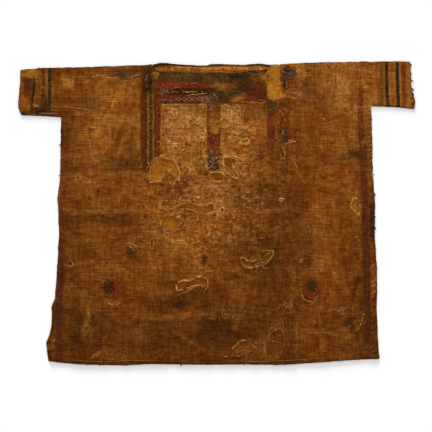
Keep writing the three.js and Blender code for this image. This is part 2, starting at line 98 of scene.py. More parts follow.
# ---- Smooth numbers over the cloth ---------------------------------------------------------------

NOISE_CELLS = 257


def noise(x, y, size, seed):
    """Smooth noise from -1 to 1 with bumps of about the given size, or sizes across and up."""
    across, up = size if isinstance(size, tuple) else (size, size)
    table = np.random.default_rng(seed).uniform(-1, 1, (NOISE_CELLS, NOISE_CELLS))
    u, v = x / across, y / up
    column, row = np.floor(u).astype(int), np.floor(v).astype(int)
    s, t = u - column, v - row
    s, t = s * s * (3 - 2 * s), t * t * (3 - 2 * t)

    def at(right, down):
        return table[(column + right) % NOISE_CELLS, (row + down) % NOISE_CELLS]

    low = at(0, 0) * (1 - s) + at(1, 0) * s
    high = at(0, 1) * (1 - s) + at(1, 1) * s
    return low * (1 - t) + high * t


def rough(x, y, size, seed, octaves=3):
    """Noise with finer noise on it."""
    across, up = size if isinstance(size, tuple) else (size, size)
    total = 0
    for octave in range(octaves):
        total = total + noise(x, y, (across / 2**octave, up / 2**octave), seed + octave) / 2**octave
    return total


def step(value, low, high):
    """0 below low, 1 above high and smooth between them."""
    share = np.clip((value - low) / (high - low), 0, 1)
    return share * share * (3 - 2 * share)


def stripe(value, low, high, blur=0.5):
    """1 between low and high, with soft edges."""
    return step(value, low - blur, low + blur) * (1 - step(value, high - blur, high + blur))


def oval(px, py, x, y, half_x, half_y, turn=0):
    """1 at the middle of a turned oval, 0 far outside it and a half at its edge."""
    angle = math.radians(turn)
    right, down = px - x, py - y
    along = right * math.cos(angle) + down * math.sin(angle)
    across = down * math.cos(angle) - right * math.sin(angle)
    return np.exp(-0.7 * ((along / half_x) ** 2 + (across / half_y) ** 2) ** 1.5)


def over(colour, dye, share):
    """colour with a dye over it, as strongly as share says at each point."""
    dye = DYES[dye] if isinstance(dye, str) else dye
    share = np.clip(share, 0, 1)[:, None]
    return colour * (1 - share) + dye * share


def layered(colour, *layers):
    """A colour, or a dye by its name, with more dyes over it, each as strongly as its share says."""
    colour = DYES[colour] if isinstance(colour, str) else colour
    for dye, share in layers:
        colour = over(colour, dye, share)
    return colour


def patched(colour, px, py, patches):
    """A colour with soft ovals over it.

    patches holds, for each dye, rows of x, y, half width, half height, strength and, where there is
    one, a turn in degrees."""
    for dye, rows in patches:
        for x, y, half_x, half_y, strength, *turn in rows:
            colour = over(colour, dye, strength * oval(px, py, x, y, half_x, half_y, *turn))
    return colour


def bent(px, py, amount, size, seed):
    """Pixels moved a little, so that what is painted by them has no smooth edge."""
    return px + amount * rough(px, py, size, seed), py + amount * rough(px, py, size, seed + 5)


# ---- Plans and heights from the CAD model --------------------------------------------------------

MERGE = 1e-6  # points that lie closer than this are one
FACES_UP = 0.02  # a face whose normal rises less than this is an edge of the cloth
EDGE_STEP = 4 * MM  # how far apart the points of an edge lie
CLOSEST = 1.5 * MM  # points of an edge that lie closer than this become one


def signed_area(loop):
    x, y = loop.T
    return 0.5 * np.sum(x * np.roll(y, -1) - y * np.roll(x, -1))


def plan_loops(node):
    """The loops that bound what of a CAD node faces up, in plan: its outline first, then its holes."""
    solid = bmesh.new()
    solid.from_mesh(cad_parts[node].data)
    bmesh.ops.remove_doubles(solid, verts=solid.verts, dist=MERGE)
    after = {}
    for edge in solid.edges:
        rising = [face for face in edge.link_faces if face.normal.z > FACES_UP]
        if len(rising) == 1:
            for loop in rising[0].loops:
                if loop.edge == edge:
                    after[loop.vert.index] = loop.link_loop_next.vert.index
    places = {vert.index: vert.co.xy[:] for vert in solid.verts}
    solid.free()
    loops = []
    while after:
        start, at = after.popitem()
        loop = [start]
        while at != start:
            loop.append(at)
            at = after.pop(at)
        loops.append(np.array([places[index] for index in loop]))
    loops.sort(key=signed_area, reverse=True)
    return [loop if signed_area(loop) > 0 else loop[::-1] for loop in loops]


def divided(loop, length):
    """The loop with points added, so that none of its sides is longer than length."""
    parts = []
    for start, end in zip(loop, np.roll(loop, -1, 0)):
        count = max(1, math.ceil(np.linalg.norm(end - start) / length))
        parts.append(start + (end - start) * np.arange(count)[:, None] / count)
    return np.concatenate(parts)


def evened(loop, length):
    """A loop with its corners cut off, and its points about length apart along it."""
    after = np.roll(loop, -1, 0)
    loop = np.stack([0.75 * loop + 0.25 * after, 0.25 * loop + 0.75 * after], 1).reshape(-1, 2)
    sides = np.roll(loop, -1, 0) - loop
    lengths = np.linalg.norm(sides, axis=1)
    ends = np.concatenate([[0], np.cumsum(lengths)])
    at = np.arange(0, ends[-1], ends[-1] / max(7, round(ends[-1] / length)))
    side = np.clip(np.searchsorted(ends, at, side="right") - 1, 0, len(loop) - 1)
    share = (at - ends[side]) / np.maximum(lengths[side], MERGE)
    return loop[side] + sides[side] * share[:, None]


def spaced(loop, least):
    """The loop without the points that lie closer than least to the one before them."""
    kept = [loop[0]]
    for point in loop[1:]:
        if np.linalg.norm(point - kept[-1]) >= least and np.linalg.norm(point - loop[0]) >= least:
            kept.append(point)
    return np.array(kept)


def outward(loop):
    """The directions that point out of a loop, at its points."""
    along = np.roll(loop, -1, 0) - np.roll(loop, 1, 0)
    along = along / np.maximum(np.linalg.norm(along, axis=1, keepdims=True), MERGE)
    return np.stack([along[:, 1], -along[:, 0]], 1)


def inside(points, loops):
    """Whether each point is in the outline and in none of the holes."""
    order = np.argsort(points[:, 1])
    x, y = points[order].T
    odd = np.zeros(len(points), bool)
    for loop in loops:
        for (x0, y0), (x1, y1) in zip(loop, np.roll(loop, -1, 0)):
            if y0 == y1:
                continue
            first, last = np.searchsorted(y, [min(y0, y1), max(y0, y1)])
            reach = slice(first, last)
            odd[reach] ^= x[reach] < x0 + (y[reach] - y0) * (x1 - x0) / (y1 - y0)
    result = np.zeros(len(points), bool)
    result[order] = odd
    return result


def tree_of(points):
    tree = KDTree(len(points))
    for index, (x, y) in enumerate(points):
        tree.insert((x, y, 0), index)
    tree.balance()
    return tree


def distances(tree, points):
    return np.array([tree.find((x, y, 0))[2] for x, y in points])


def grid(low, high, spacing, seed):
    """Points of a triangular grid over a box, each moved a little so that no rows show."""
    draw = np.random.default_rng(seed)
    rows = np.arange(low[1], high[1], spacing * math.sqrt(0.75))
    columns = np.arange(low[0], high[0], spacing)
    x, y = np.meshgrid(columns, rows)
    x[1::2] += spacing / 2
    points = np.stack([x.ravel(), y.ravel()], 1)
    return points + draw.uniform(-0.18, 0.18, points.shape) * spacing


RAY_START = 0.1  # how far over and under the floor the rays start that look for the cloth


def surface(node):
    """Two functions that give the height of a node's upper and lower side at points in plan."""
    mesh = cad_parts[node].data
    corners = [vert.co for vert in mesh.vertices]
    tree = BVHTree.FromPolygons(corners, [tuple(face.vertices) for face in mesh.polygons])

    def heights(points, start, direction):
        found = []
        for x, y in points:
            hit = tree.ray_cast(Vector((x, y, start)), Vector((0, 0, direction)))[0]
            if hit is None:
                hit = tree.find_nearest(Vector((x, y, start)))[0]
            found.append(hit.z)
        return np.array(found)

    return lambda points: heights(points, RAY_START, -1), lambda points: heights(points, -RAY_START, 1)


def triangulated(loops, points):
    """The corners and triangles of the cloth between loops, and which of the given points each is."""
    given = np.concatenate([*loops, points])
    sides, first = [], 0
    for loop in loops:
        count = len(loop)
        sides += [(first + i, first + (i + 1) % count) for i in range(count)]
        first += count
    corners, _, faces, sources, _, _ = delaunay_2d_cdt(
        [Vector(point) for point in given], sides, [], 0, MERGE
    )
    corners = np.array([corner[:] for corner in corners])
    faces = np.array([face for face in faces if len(face) == 3])
    source = np.array([of[0] if of else -1 for of in sources])
    rim_tree = tree_of(given[:first])
    for index in np.flatnonzero(source < 0):
        source[index] = rim_tree.find((*corners[index], 0))[1]
    on_rim = source < first
    middles = corners[faces].mean(1)
    keep = ~on_rim[faces].all(1)
    keep[~keep] = inside(middles[~keep], loops)
    faces = faces[keep]
    a, b, c = (corners[faces[:, k]] for k in range(3))
    turned = (b - a)[:, 0] * (c - a)[:, 1] - (b - a)[:, 1] * (c - a)[:, 0] < 0
    faces[turned] = faces[turned][:, ::-1]
    return corners, faces, source


def neighbour_mean(values, faces, count):
    """The mean of the values next to each corner of a mesh."""
    a = np.concatenate([faces[:, 0], faces[:, 1], faces[:, 2]])
    b = np.concatenate([faces[:, 1], faces[:, 2], faces[:, 0]])
    total = np.bincount(a, values[b], count) + np.bincount(b, values[a], count)
    number = np.bincount(a, minlength=count) + np.bincount(b, minlength=count)
    return total / np.maximum(number, 1)


# ---- Materials -----------------------------------------------------------------------------------

BARS_PER_METRE = 112  # thicker wefts
DARKEST = 0.25  # the least that the grain leaves of a dye
WAVE_UNIT = math.pi / 10  # the scale at which Blender's wave texture repeats once in each metre


class Shader:
    """A material's nodes, built by short calls."""

    def __init__(self, name, roughness, sheen=0.0, sheen_tint=(0.9, 0.5, 0.22, 1)):
        self.material = bpy.data.materials.new(name)
        self.material.use_nodes = True
        self.tree = self.material.node_tree
        self.shader = self.tree.nodes["Principled BSDF"]
        self.shader.inputs["Roughness"].default_value = roughness
        self.shader.inputs["Specular IOR Level"].default_value = 0.02
        self.shader.inputs["Sheen Weight"].default_value = sheen
        self.shader.inputs["Sheen Roughness"].default_value = 0.6
        self.shader.inputs["Sheen Tint"].default_value = sheen_tint
        self.place = self.node("ShaderNodeTexCoord").outputs["Object"]

    def node(self, kind, links=(), **settings):
        """A node with its settings made and its inputs linked or set."""
        made = self.tree.nodes.new(kind)
        for name, value in settings.items():
            setattr(made, name, value)
        for name, value in dict(links).items():
            socket = made.inputs[name]
            if isinstance(value, bpy.types.NodeSocket):
                self.tree.links.new(value, socket)
            else:
                socket.default_value = value
        return made

    def math(self, operation, first, second, third=0.0):
        links = {0: first, 1: second, 2: third}
        return self.node("ShaderNodeMath", links, operation=operation).outputs[0]

    def grain(self, scale, detail=2.0, warp=0.0):
        """Noise whose bumps per metre are given across, up and through the cloth."""
        stretched = self.node("ShaderNodeMapping", {"Vector": self.place, "Scale": scale})
        links = {
            "Vector": stretched.outputs["Vector"],
            "Scale": 1.0,
            "Detail": detail,
            "Roughness": 0.6,
            "Distortion": warp,
        }
        return self.node("ShaderNodeTexNoise", links).outputs["Fac"]

    def ribs(self, direction, per_metre, warp):
        """Waves along X or Y, as threads lie side by side."""
        links = {
            "Vector": self.place,
            "Scale": per_metre * WAVE_UNIT,
            "Distortion": warp,
            "Detail": 1.0,
            "Detail Scale": 2.0,
        }
        wave = self.node("ShaderNodeTexWave", links, bands_direction=direction)
        return wave.outputs["Fac"]

    def finish(self, colour, height, relief):
        bump = self.node("ShaderNodeBump", {"Height": height, "Distance": relief, "Strength": 1.0})
        self.tree.links.new(bump.outputs["Normal"], self.shader.inputs["Normal"])
        self.tree.links.new(colour, self.shader.inputs["Base Color"])
        return self.material


def woven(name, grains, weft, warp, relief, bars=0.0, roughness=0.95, sheen=0.04):
    """Cloth with the colour of its dye attribute, grained along its threads.

    grains holds rows of a scale, a strength and a detail, and weft and warp are threads per metre. bars
    is the strength of thicker wefts, which show in places."""
    made = Shader(name, roughness, sheen)
    dye = made.node("ShaderNodeAttribute", attribute_name="dye").outputs["Color"]
    shade = made.math("ADD", 1.0 - sum(strength for _, strength, _ in grains) / 2, 0.0)
    for scale, strength, detail in grains:
        shade = made.math("MULTIPLY_ADD", made.grain(scale, detail), strength, shade)
    threads = made.math(
        "MULTIPLY", made.ribs("Y", weft, 0.6), made.math("ADD", made.ribs("X", warp, 0.4), 0.6)
    )
    shade = made.math("MULTIPLY", shade, made.math("MULTIPLY_ADD", threads, 0.22, 0.9))
    if bars:
        patches = made.node(
            "ShaderNodeMapRange", {"Value": made.grain((9, 12, 1), 2.0), "From Min": 0.42, "From Max": 0.62}
        )
        wave = made.math("SUBTRACT", made.ribs("Y", BARS_PER_METRE, 2.2), 0.5)
        wave = made.math("MULTIPLY", wave, patches.outputs["Result"])
        shade = made.math("MULTIPLY", shade, made.math("MULTIPLY_ADD", wave, bars, 1.0))
    shade = made.math("MAXIMUM", shade, DARKEST)
    parts = {axis: made.math("POWER", shade, depth) for axis, depth in enumerate(DEPTHS)}
    tint = made.node("ShaderNodeCombineXYZ", parts).outputs[0]
    colour = made.node("ShaderNodeVectorMath", {0: dye, 1: tint}, operation="MULTIPLY")
    fluff = made.grain((420, 420, 420), 2.0)
    height = made.math("MULTIPLY_ADD", fluff, 0.6, threads)
    return made.finish(colour.outputs[0], height, relief)


# Rows of a scale across, up and through the cloth, a strength and a detail.
WOOL_GRAINS = [
    ((22, 130, 1), 1.45, 3.0),  # weft bars
    ((130, 18, 1), 1.05, 3.0),  # warp streaks
    ((80, 62, 1), 1.40, 4.0),  # mottling
    ((200, 230, 1), 2.15, 2.0),  # slubs
]
TAPESTRY_GRAINS = [
    ((70, 260, 1), 0.80, 3.0),
    ((220, 50, 1), 0.70, 3.0),
    ((130, 130, 1), 0.80, 3.0),
]
SUPPORT_GRAINS = [
    ((160, 30, 1), 0.34, 2.0),
    ((30, 160, 1), 0.34, 2.0),
    ((40, 40, 1), 0.42, 3.0),
    ((180, 200, 1), 0.50, 2.0),
]
YARN_GRAINS = [((700, 700, 700), 0.9, 3.0)]

MATERIALS = {
    "wool": woven("worn_wool", WOOL_GRAINS, weft=450, warp=260, relief=0.5 * MM, bars=0.36),
    "tapestry": woven("tapestry_wool", TAPESTRY_GRAINS, weft=750, warp=320, relief=0.5 * MM),
    "support": woven("support_weave", SUPPORT_GRAINS, weft=550, warp=550, relief=0.25 * MM),
    "yarn": woven("loose_yarn", YARN_GRAINS, weft=750, warp=750, relief=0.2 * MM),
}

# ---- Meshes --------------------------------------------------------------------------------------


def placed(name, data):
    made = bpy.data.objects.new(name, data)
    bpy.context.collection.objects.link(made)
    return made


def mesh_object(name, corners, faces, colours, material):
    """A smooth mesh object with a colour at each corner, as its dye attribute."""
    mesh = bpy.data.meshes.new(name)
    mesh.from_pydata(corners.tolist(), [], faces.tolist())
    dye = mesh.color_attributes.new(name="dye", type="FLOAT_COLOR", domain="POINT")
    dye.data.foreach_set("color", np.c_[colours, np.ones(len(colours))].ravel())
    mesh.shade_smooth()
    mesh.materials.append(MATERIALS[material])
    piece = placed(name, mesh)
    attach(piece, "root")
    return piece


class Cloth:
    """A sheet that lies where a CAD node lies, with a finer surface and ragged edges.

    spacing is that of its grid; fine is a box in pixels with a spacing of its own. ragged gives how far
    its outline and holes stray, in mm. extra(px, py) is a relief of its own, which fades out at the
    outline of a calm sheet, and curl is how high the edges of holes lift."""

    THICKNESS = 1.3 * MM
    TURNED = 1.2 * MM  # an edge whose lower side is below this lies on the floor
    TURNED_TOP = 0.7 * MM  # the most that the upper side of such an edge rises
    PULLED = 0.8 * MM  # how far the lower side of such an edge lies in from it
    RINGS = (0.6, 1.4, 2.6, 4.4)  # mm inside the outline at which rings of points lie
    HOLE_RINGS = (1.6, 3.4)  # the same round a hole
    HELD = 8 * MM  # nearer than this to an edge the CAD model's heights aren't smoothed
    SMOOTHINGS = 8
    CALM = (2 * MM, 16 * MM)  # the distances from the outline between which a relief fades in
    LIFTED = 4 * MM  # how far from a hole its lifted edge reaches
    UNDER_SPACING = 24 * MM  # the spacing of the lower side's points
    NO_EDGE = 1.0  # the distance in metres that stands for no edge near by

    def __init__(self, node, spacing, fine=None, ragged=(0.5, 1.0), extra=None, calm=True, curl=0.0, seed=1):
        self.node = node
        top, bottom = surface(node)
        loops = plan_loops(node)
        self.area = signed_area(loops[0])
        outline = self.frayed(spaced(divided(loops[0], EDGE_STEP), CLOSEST), ragged[0], seed)
        holes = [evened(hole, EDGE_STEP) for hole in loops[1:]]
        holes = [self.frayed(hole, min(ragged[1], len(hole) / 8), seed + 7) for hole in holes]
        self.outline, self.holes = outline, holes
        rims = [outline, *holes]
        within = -np.concatenate([outward(outline), *[-outward(hole) for hole in holes]])
        rim_points = np.concatenate(rims)
        self.rim_tree = tree_of(rim_points)
        self.hole_tree = tree_of(np.concatenate(holes)) if holes else None

        points = self.inner_points(rims, spacing, fine, seed)
        corners, faces, source = triangulated(rims, points)
        count, rim_count = len(corners), len(rim_points)
        on_rim = source < rim_count
        looked_at = corners.copy()
        looked_at[on_rim] += within[source[on_rim]] * 0.5 * MM
        high = top(looked_at)
        self.edge = distances(self.rim_tree, corners)
        hold = self.edge < self.HELD
        for _ in range(self.SMOOTHINGS):
            high = np.where(hold, high, neighbour_mean(high, faces, count))
        low = bottom(looked_at[on_rim])
        px, py = pixels(corners)
        if extra is not None:
            share = step(distances(tree_of(outline), corners), *self.CALM) if calm else 1.0
            high = high + extra(px, py) * share
        if self.hole_tree is not None:
            self.hole_edge = distances(self.hole_tree, corners)
            lift = 0.55 + 0.75 * noise(px, py, 4.5, seed + 3)
            high = high + curl * np.clip(lift, 0, 2) * np.exp(-((self.hole_edge / self.LIFTED) ** 2))
        else:
            self.hole_edge = np.full(count, self.NO_EDGE)
        turned = low < self.TURNED
        rim_high = np.where(turned, np.minimum(high[on_rim], self.TURNED_TOP), high[on_rim])
        high[on_rim] = rim_high
        self.corners = np.c_[corners, high]
        self.faces = faces
        self.close(rims, bottom, source, on_rim, low, turned, rim_high, within, seed)

    def frayed(self, loop, amount, seed):
        """A loop whose points stray out and in, more at some places than at others."""
        px, py = pixels(loop)
        stray = 0.7 * noise(px, py, 1.6, seed + 1) + 0.5 * noise(px, py, 3, seed + 5)
        stray = stray + 0.7 * noise(px, py, 6, seed + 2)
        return loop + outward(loop) * (stray * amount * MM)[:, None]

    def inner_points(self, rims, spacing, fine, seed):
        """The points of the upper side that lie inside its edges: grids, and rings along the edges."""
        low, high = rims[0].min(0), rims[0].max(0)
        points = grid(low, high, spacing, seed)
        needed = np.full(len(points), 0.55 * spacing)
        if fine:
            x0, y1 = metres(fine[0], fine[1])
            x1, y0 = metres(fine[2], fine[3])
            x, y = points.T
            outside = (x < x0) | (x > x1) | (y < y0) | (y > y1)
            close = grid((x0, y0), (x1, y1), fine[4], seed + 1)
            points = np.concatenate([points[outside], close])
            needed = np.concatenate([needed[outside], np.full(len(close), 0.55 * fine[4])])
        rings = []
        for offset in self.RINGS:
            rings.append(rims[0] - outward(rims[0]) * offset * MM)
            needed = np.concatenate([needed, np.full(len(rims[0]), 0.45 * offset * MM)])
        for hole in rims[1:]:
            for offset in self.HOLE_RINGS:
                rings.append(hole + outward(hole) * offset * MM)
                needed = np.concatenate([needed, np.full(len(hole), 0.6 * offset * MM)])
        points = np.concatenate([points, *rings])
        keep = inside(points, rims) & (distances(self.rim_tree, points) > needed)
        return points[keep]

    def close(self, rims, bottom, source, on_rim, low, turned, rim_high, within, seed):
        """Adds the edges' thickness and the sheet's lower side."""
        rim_count = sum(len(rim) for rim in rims)
        first = len(self.corners)
        top_of_rim = np.zeros(rim_count, int)
        top_of_rim[source[on_rim]] = np.flatnonzero(on_rim)
        under = np.zeros(rim_count)
        under[source[on_rim]] = np.where(turned, 0, np.maximum(low, rim_high - self.THICKNESS))
        places = np.concatenate(rims)
        pulled = places + within * np.where(under < MERGE, self.PULLED, 0)[:, None]
        points = grid(rims[0].min(0), rims[0].max(0), self.UNDER_SPACING, seed)
        rings = [rims[0] - outward(rims[0]) * 3.6 * MM, *[hole + outward(hole) * 5 * MM for hole in rims[1:]]]
        points = np.concatenate([points, *[ring[::2] for ring in rings]])
        keep = inside(points, rims) & (distances(self.rim_tree, points) > 2.5 * MM)
        corners, faces, from_rim = triangulated(rims, points[keep])
        is_rim = from_rim < rim_count
        heights = bottom(corners)
        heights[is_rim] = under[from_rim[is_rim]]
        flat = corners.copy()
        flat[is_rim] = pulled[from_rim[is_rim]]
        low_of_rim = np.zeros(rim_count, int)
        low_of_rim[from_rim[is_rim]] = first + np.flatnonzero(is_rim)
        walls, start = [], 0
        for number, rim in enumerate(rims):
            ring = np.arange(start, start + len(rim))
            start += len(rim)
            after = np.roll(ring, -1)
            if number:
                ring, after = after, ring
            walls.append(np.c_[top_of_rim[ring], low_of_rim[ring], low_of_rim[after]])
            walls.append(np.c_[top_of_rim[ring], low_of_rim[after], top_of_rim[after]])
        self.all_corners = np.concatenate([self.corners, np.c_[flat, heights]])
        self.all_faces = np.concatenate([self.faces, *walls, faces[:, ::-1] + first])

    def piece(self, name, paint, material, slot, flat, rests_on):
        """The finished piece, in the colours that paint(px, py, cloth) gives its points."""
        px, py = pixels(self.all_corners[:, :2])
        under = np.full(len(self.all_corners) - len(self.corners), self.NO_EDGE)
        self.hole_edge = np.concatenate([self.hole_edge, under])
        self.edge = np.concatenate([self.edge, under])
        colours = paint(px, py, self)
        made = mesh_object(name, self.all_corners, self.all_faces, colours, material)
        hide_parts(self.node)
        return made


def height_over(*pieces):
    """A function that gives the height of the finished pieces at points in plan."""
    corners, faces = [], []
    for piece in pieces:
        faces += [tuple(len(corners) + corner for corner in face.vertices) for face in piece.data.polygons]
        corners += [vert.co for vert in piece.data.vertices]
    tree = BVHTree.FromPolygons(corners, faces)

    def heights(points):
        hits = [tree.ray_cast(Vector((x, y, RAY_START)), Vector((0, 0, -1)))[0] for x, y in points]
        return np.array([0.0 if hit is None else hit.z for hit in hits])

    return heights


# ---- The front's colours -------------------------------------------------------------------------

# Broad changes of tone, as patched() reads them.
TONES = [
    ("gold", [
        (195, 138, 50, 52, 0.66), (235, 132, 26, 34, 0.4), (198, 204, 42, 40, 0.5),
        (186, 250, 40, 26, 0.32), (336, 86, 38, 22, 0.5), (345, 128, 22, 24, 0.22),
        (67, 84, 9, 10, 0.45), (95, 207, 12, 5, 0.35), (258, 125, 11, 12, 0.45), (338, 68, 16, 7, 0.4),
        (130, 67, 9, 3, 0.5),
    ]),
    ("straw", [(228, 117, 10, 9, 0.22)]),
    ("gold", [
        (262, 175, 12, 10, 0.15), (112, 96, 28, 26, 0.36), (98, 136, 22, 22, 0.26),
        (84, 182, 16, 12, 0.3), (76, 178, 8, 6, 0.25), (299, 68, 8, 6, 0.5),
    ]),
    ("ochre", [(302, 73, 5, 8, 0.55)]),
    ("gold", [
        (366, 117, 8, 9, 0.35), (315, 228, 10, 10, 0.2), (295, 98, 7, 5, 0.6),
        (105, 128, 10, 8, 0.25, 30), (145, 335, 9, 9, 0.25), (128, 200, 12, 9, 0.25),
        (185, 317, 8, 6, 0.2),
    ]),
    ("umber", [
        (175, 228, 14, 8, 0.35), (250, 112, 10, 8, 0.3), (235, 196, 9, 8, 0.25),
        (196, 288, 16, 7, 0.28), (262, 260, 12, 10, 0.2), (86, 327, 6, 6, 0.2), (127, 139, 12, 9, 0.3),
        (70, 217, 9, 9, 0.25), (115, 167, 12, 7, 0.22), (115, 222, 10, 9, 0.24), (85, 317, 8, 8, 0.22),
        (316, 107, 9, 9, 0.22), (325, 337, 10, 8, 0.2), (205, 357, 14, 5, 0.25),
    ]),
    ("straw", [(176, 119, 13, 9, 0.3), (195, 137, 9, 9, 0.25), (226, 158, 9, 9, 0.22)]),
    ("gold", [(298, 147, 9, 8, 0.25), (328, 160, 12, 9, 0.25), (103, 147, 9, 8, 0.5)]),
    ("straw", [(204, 195, 12, 9, 0.16)]),
    ("gold", [
        (375, 67, 5, 5, 0.3), (344, 190, 10, 12, 0.2), (118, 136, 14, 26, 0.3, 30),
        (98, 112, 16, 30, 0.2, 35), (320, 235, 8, 40, 0.18), (150, 190, 8, 6, 0.4),
        (366, 352, 14, 14, 0.2), (300, 358, 60, 5, 0.16),
    ]),
    ("umber", [
        (68, 140, 9, 45, 0.26), (216, 345, 200, 34, 0.26), (70, 345, 22, 26, 0.24),
        (368, 340, 14, 34, 0.38), (215, 292, 70, 30, 0.16),
    ]),
    ("russet", [(183, 184, 9, 12, 0.75, -35)]),
    ("umber", [
        (174, 196, 16, 9, 0.34), (206, 166, 8, 9, 0.3), (225, 246, 26, 10, 0.2),
        (246, 258, 30, 22, 0.22), (190, 289, 26, 10, 0.2, -20), (245, 346, 30, 18, 0.22),
        (372, 240, 5, 60, 0.26), (318, 150, 18, 16, 0.14), (108, 130, 9, 20, 0.14, 20),
        (100, 168, 45, 7, 0.3), (133, 164, 15, 14, 0.42), (104, 217, 44, 8, 0.34),
        (75, 250, 26, 24, 0.24), (68, 322, 24, 28, 0.34), (205, 318, 62, 26, 0.36),
        (216, 330, 18, 14, 0.42), (135, 345, 60, 16, 0.2), (278, 196, 26, 20, 0.34),
        (286, 250, 20, 38, 0.4), (262, 222, 20, 22, 0.24), (264, 130, 8, 30, 0.2),
        (292, 132, 12, 26, 0.26), (262, 320, 22, 26, 0.16), (300, 300, 26, 18, 0.12),
        (352, 275, 12, 30, 0.26), (300, 90, 12, 14, 0.14), (215, 62, 160, 3, 0.2),
        (90, 101, 12, 13, 0.55), (122, 134, 10, 14, 0.3, 20), (315, 95, 13, 14, 0.34),
        (65, 137, 6, 12, 0.3), (332, 210, 13, 12, 0.2), (82, 287, 24, 12, 0.26),
        (350, 238, 14, 14, 0.28), (155, 248, 8, 8, 0.3), (366, 327, 8, 12, 0.25), (116, 147, 8, 8, 0.2),
        (65, 217, 6, 14, 0.25), (285, 355, 12, 6, 0.3), (315, 71, 8, 9, 0.4), (85, 321, 8, 10, 0.34),
        (260, 277, 12, 7, 0.36), (205, 107, 6, 5, 0.34), (297, 356, 10, 5, 0.3), (241, 114, 9, 8, 0.3),
        (165, 279, 14, 8, 0.34), (165, 117, 5, 7, 0.3), (115, 168, 10, 7, 0.28), (305, 298, 8, 5, 0.28),
        (239, 227, 10, 7, 0.3), (225, 138, 5, 6, 0.28), (245, 197, 8, 7, 0.28), (74, 238, 8, 9, 0.28),
        (105, 198, 9, 7, 0.26), (295, 327, 8, 8, 0.28), (75, 217, 8, 7, 0.22), (335, 157, 8, 7, 0.26),
        (295, 277, 7, 6, 0.24), (325, 117, 8, 7, 0.22), (135, 97, 7, 8, 0.22),
    ]),
    ("gold", [(245, 157, 8, 8, 0.34)]),
    ("straw", [(235, 166, 6, 6, 0.26), (175, 137, 8, 8, 0.22)]),
    ("gold", [
        (155, 217, 8, 7, 0.34), (137, 72, 7, 6, 0.4), (305, 77, 7, 6, 0.3), (356, 266, 7, 9, 0.28),
        (235, 291, 8, 9, 0.28), (325, 146, 8, 7, 0.28),
    ]),
    ("straw", [(215, 178, 7, 7, 0.22)]),
    ("gold", [(288, 117, 6, 7, 0.3), (325, 178, 9, 7, 0.26), (366, 76, 8, 12, 0.28)]),
    ("straw", [(214, 119, 5, 6, 0.26)]),
    ("gold", [
        (355, 173, 7, 9, 0.26), (346, 207, 8, 7, 0.24), (105, 267, 9, 7, 0.24), (104, 68, 8, 5, 0.26),
    ]),
    ("straw", [(195, 117, 6, 6, 0.22)]),
    ("gold", [
        (275, 347, 8, 8, 0.24), (275, 126, 5, 7, 0.22), (153, 157, 6, 7, 0.24), (85, 197, 8, 6, 0.24),
        (95, 164, 9, 6, 0.24),
    ]),
    ("straw", [(245, 127, 7, 6, 0.18)]),
    ("umber", [
        (215, 262, 8, 9, 0.24), (195, 288, 7, 6, 0.2), (64, 248, 6, 8, 0.24), (86, 324, 6, 9, 0.24),
        (305, 298, 6, 5, 0.2), (376, 357, 6, 7, 0.26), (55, 307, 5, 8, 0.3), (65, 137, 6, 8, 0.26),
        (135, 151, 8, 9, 0.26), (66, 182, 7, 9, 0.26), (175, 252, 8, 9, 0.26), (160, 178, 9, 6, 0.22),
        (205, 122, 5, 9, 0.24), (195, 288, 8, 7, 0.22), (306, 298, 7, 5, 0.22), (85, 310, 8, 8, 0.22),
        (366, 297, 6, 8, 0.22), (105, 217, 9, 7, 0.2), (124, 137, 7, 7, 0.2), (175, 217, 7, 7, 0.2),
        (205, 187, 7, 7, 0.2),
    ]),
    ("straw", [(215, 122, 5, 8, 0.22)]),
    ("gold", [(105, 147, 8, 7, 0.24), (296, 97, 7, 5, 0.3), (275, 127, 6, 7, 0.26)]),
    ("straw", [(214, 177, 7, 6, 0.18)]),
    ("gold", [(154, 158, 7, 6, 0.22), (275, 347, 8, 8, 0.2), (246, 217, 8, 7, 0.26)]),
    ("straw", [(215, 208, 8, 7, 0.16)]),
    ("gold", [
        (125, 178, 8, 6, 0.2), (245, 157, 7, 7, 0.2), (128, 78, 8, 5, 0.26), (335, 67, 8, 5, 0.22),
        (285, 66, 7, 6, 0.4), (285, 78, 7, 5, 0.3), (275, 125, 6, 10, 0.26), (208, 190, 9, 12, 0.22),
        (152, 224, 9, 9, 0.24), (100, 148, 9, 6, 0.24), (55, 338, 6, 6, 0.26), (97, 356, 8, 5, 0.22),
    ]),
    ("umber", [
        (56, 307, 8, 9, 0.26), (85, 320, 8, 9, 0.22), (175, 356, 9, 5, 0.2), (215, 356, 8, 5, 0.2),
        (285, 197, 7, 7, 0.18), (306, 270, 6, 12, 0.16),
    ]),
    ("blush", [(299, 80, 8, 9, 0.06), (347, 80, 15, 12, 0.06), (298, 96, 9, 6, 0.07)]),
    ("wine", [(358, 92, 4, 14, 0.25)]),
]

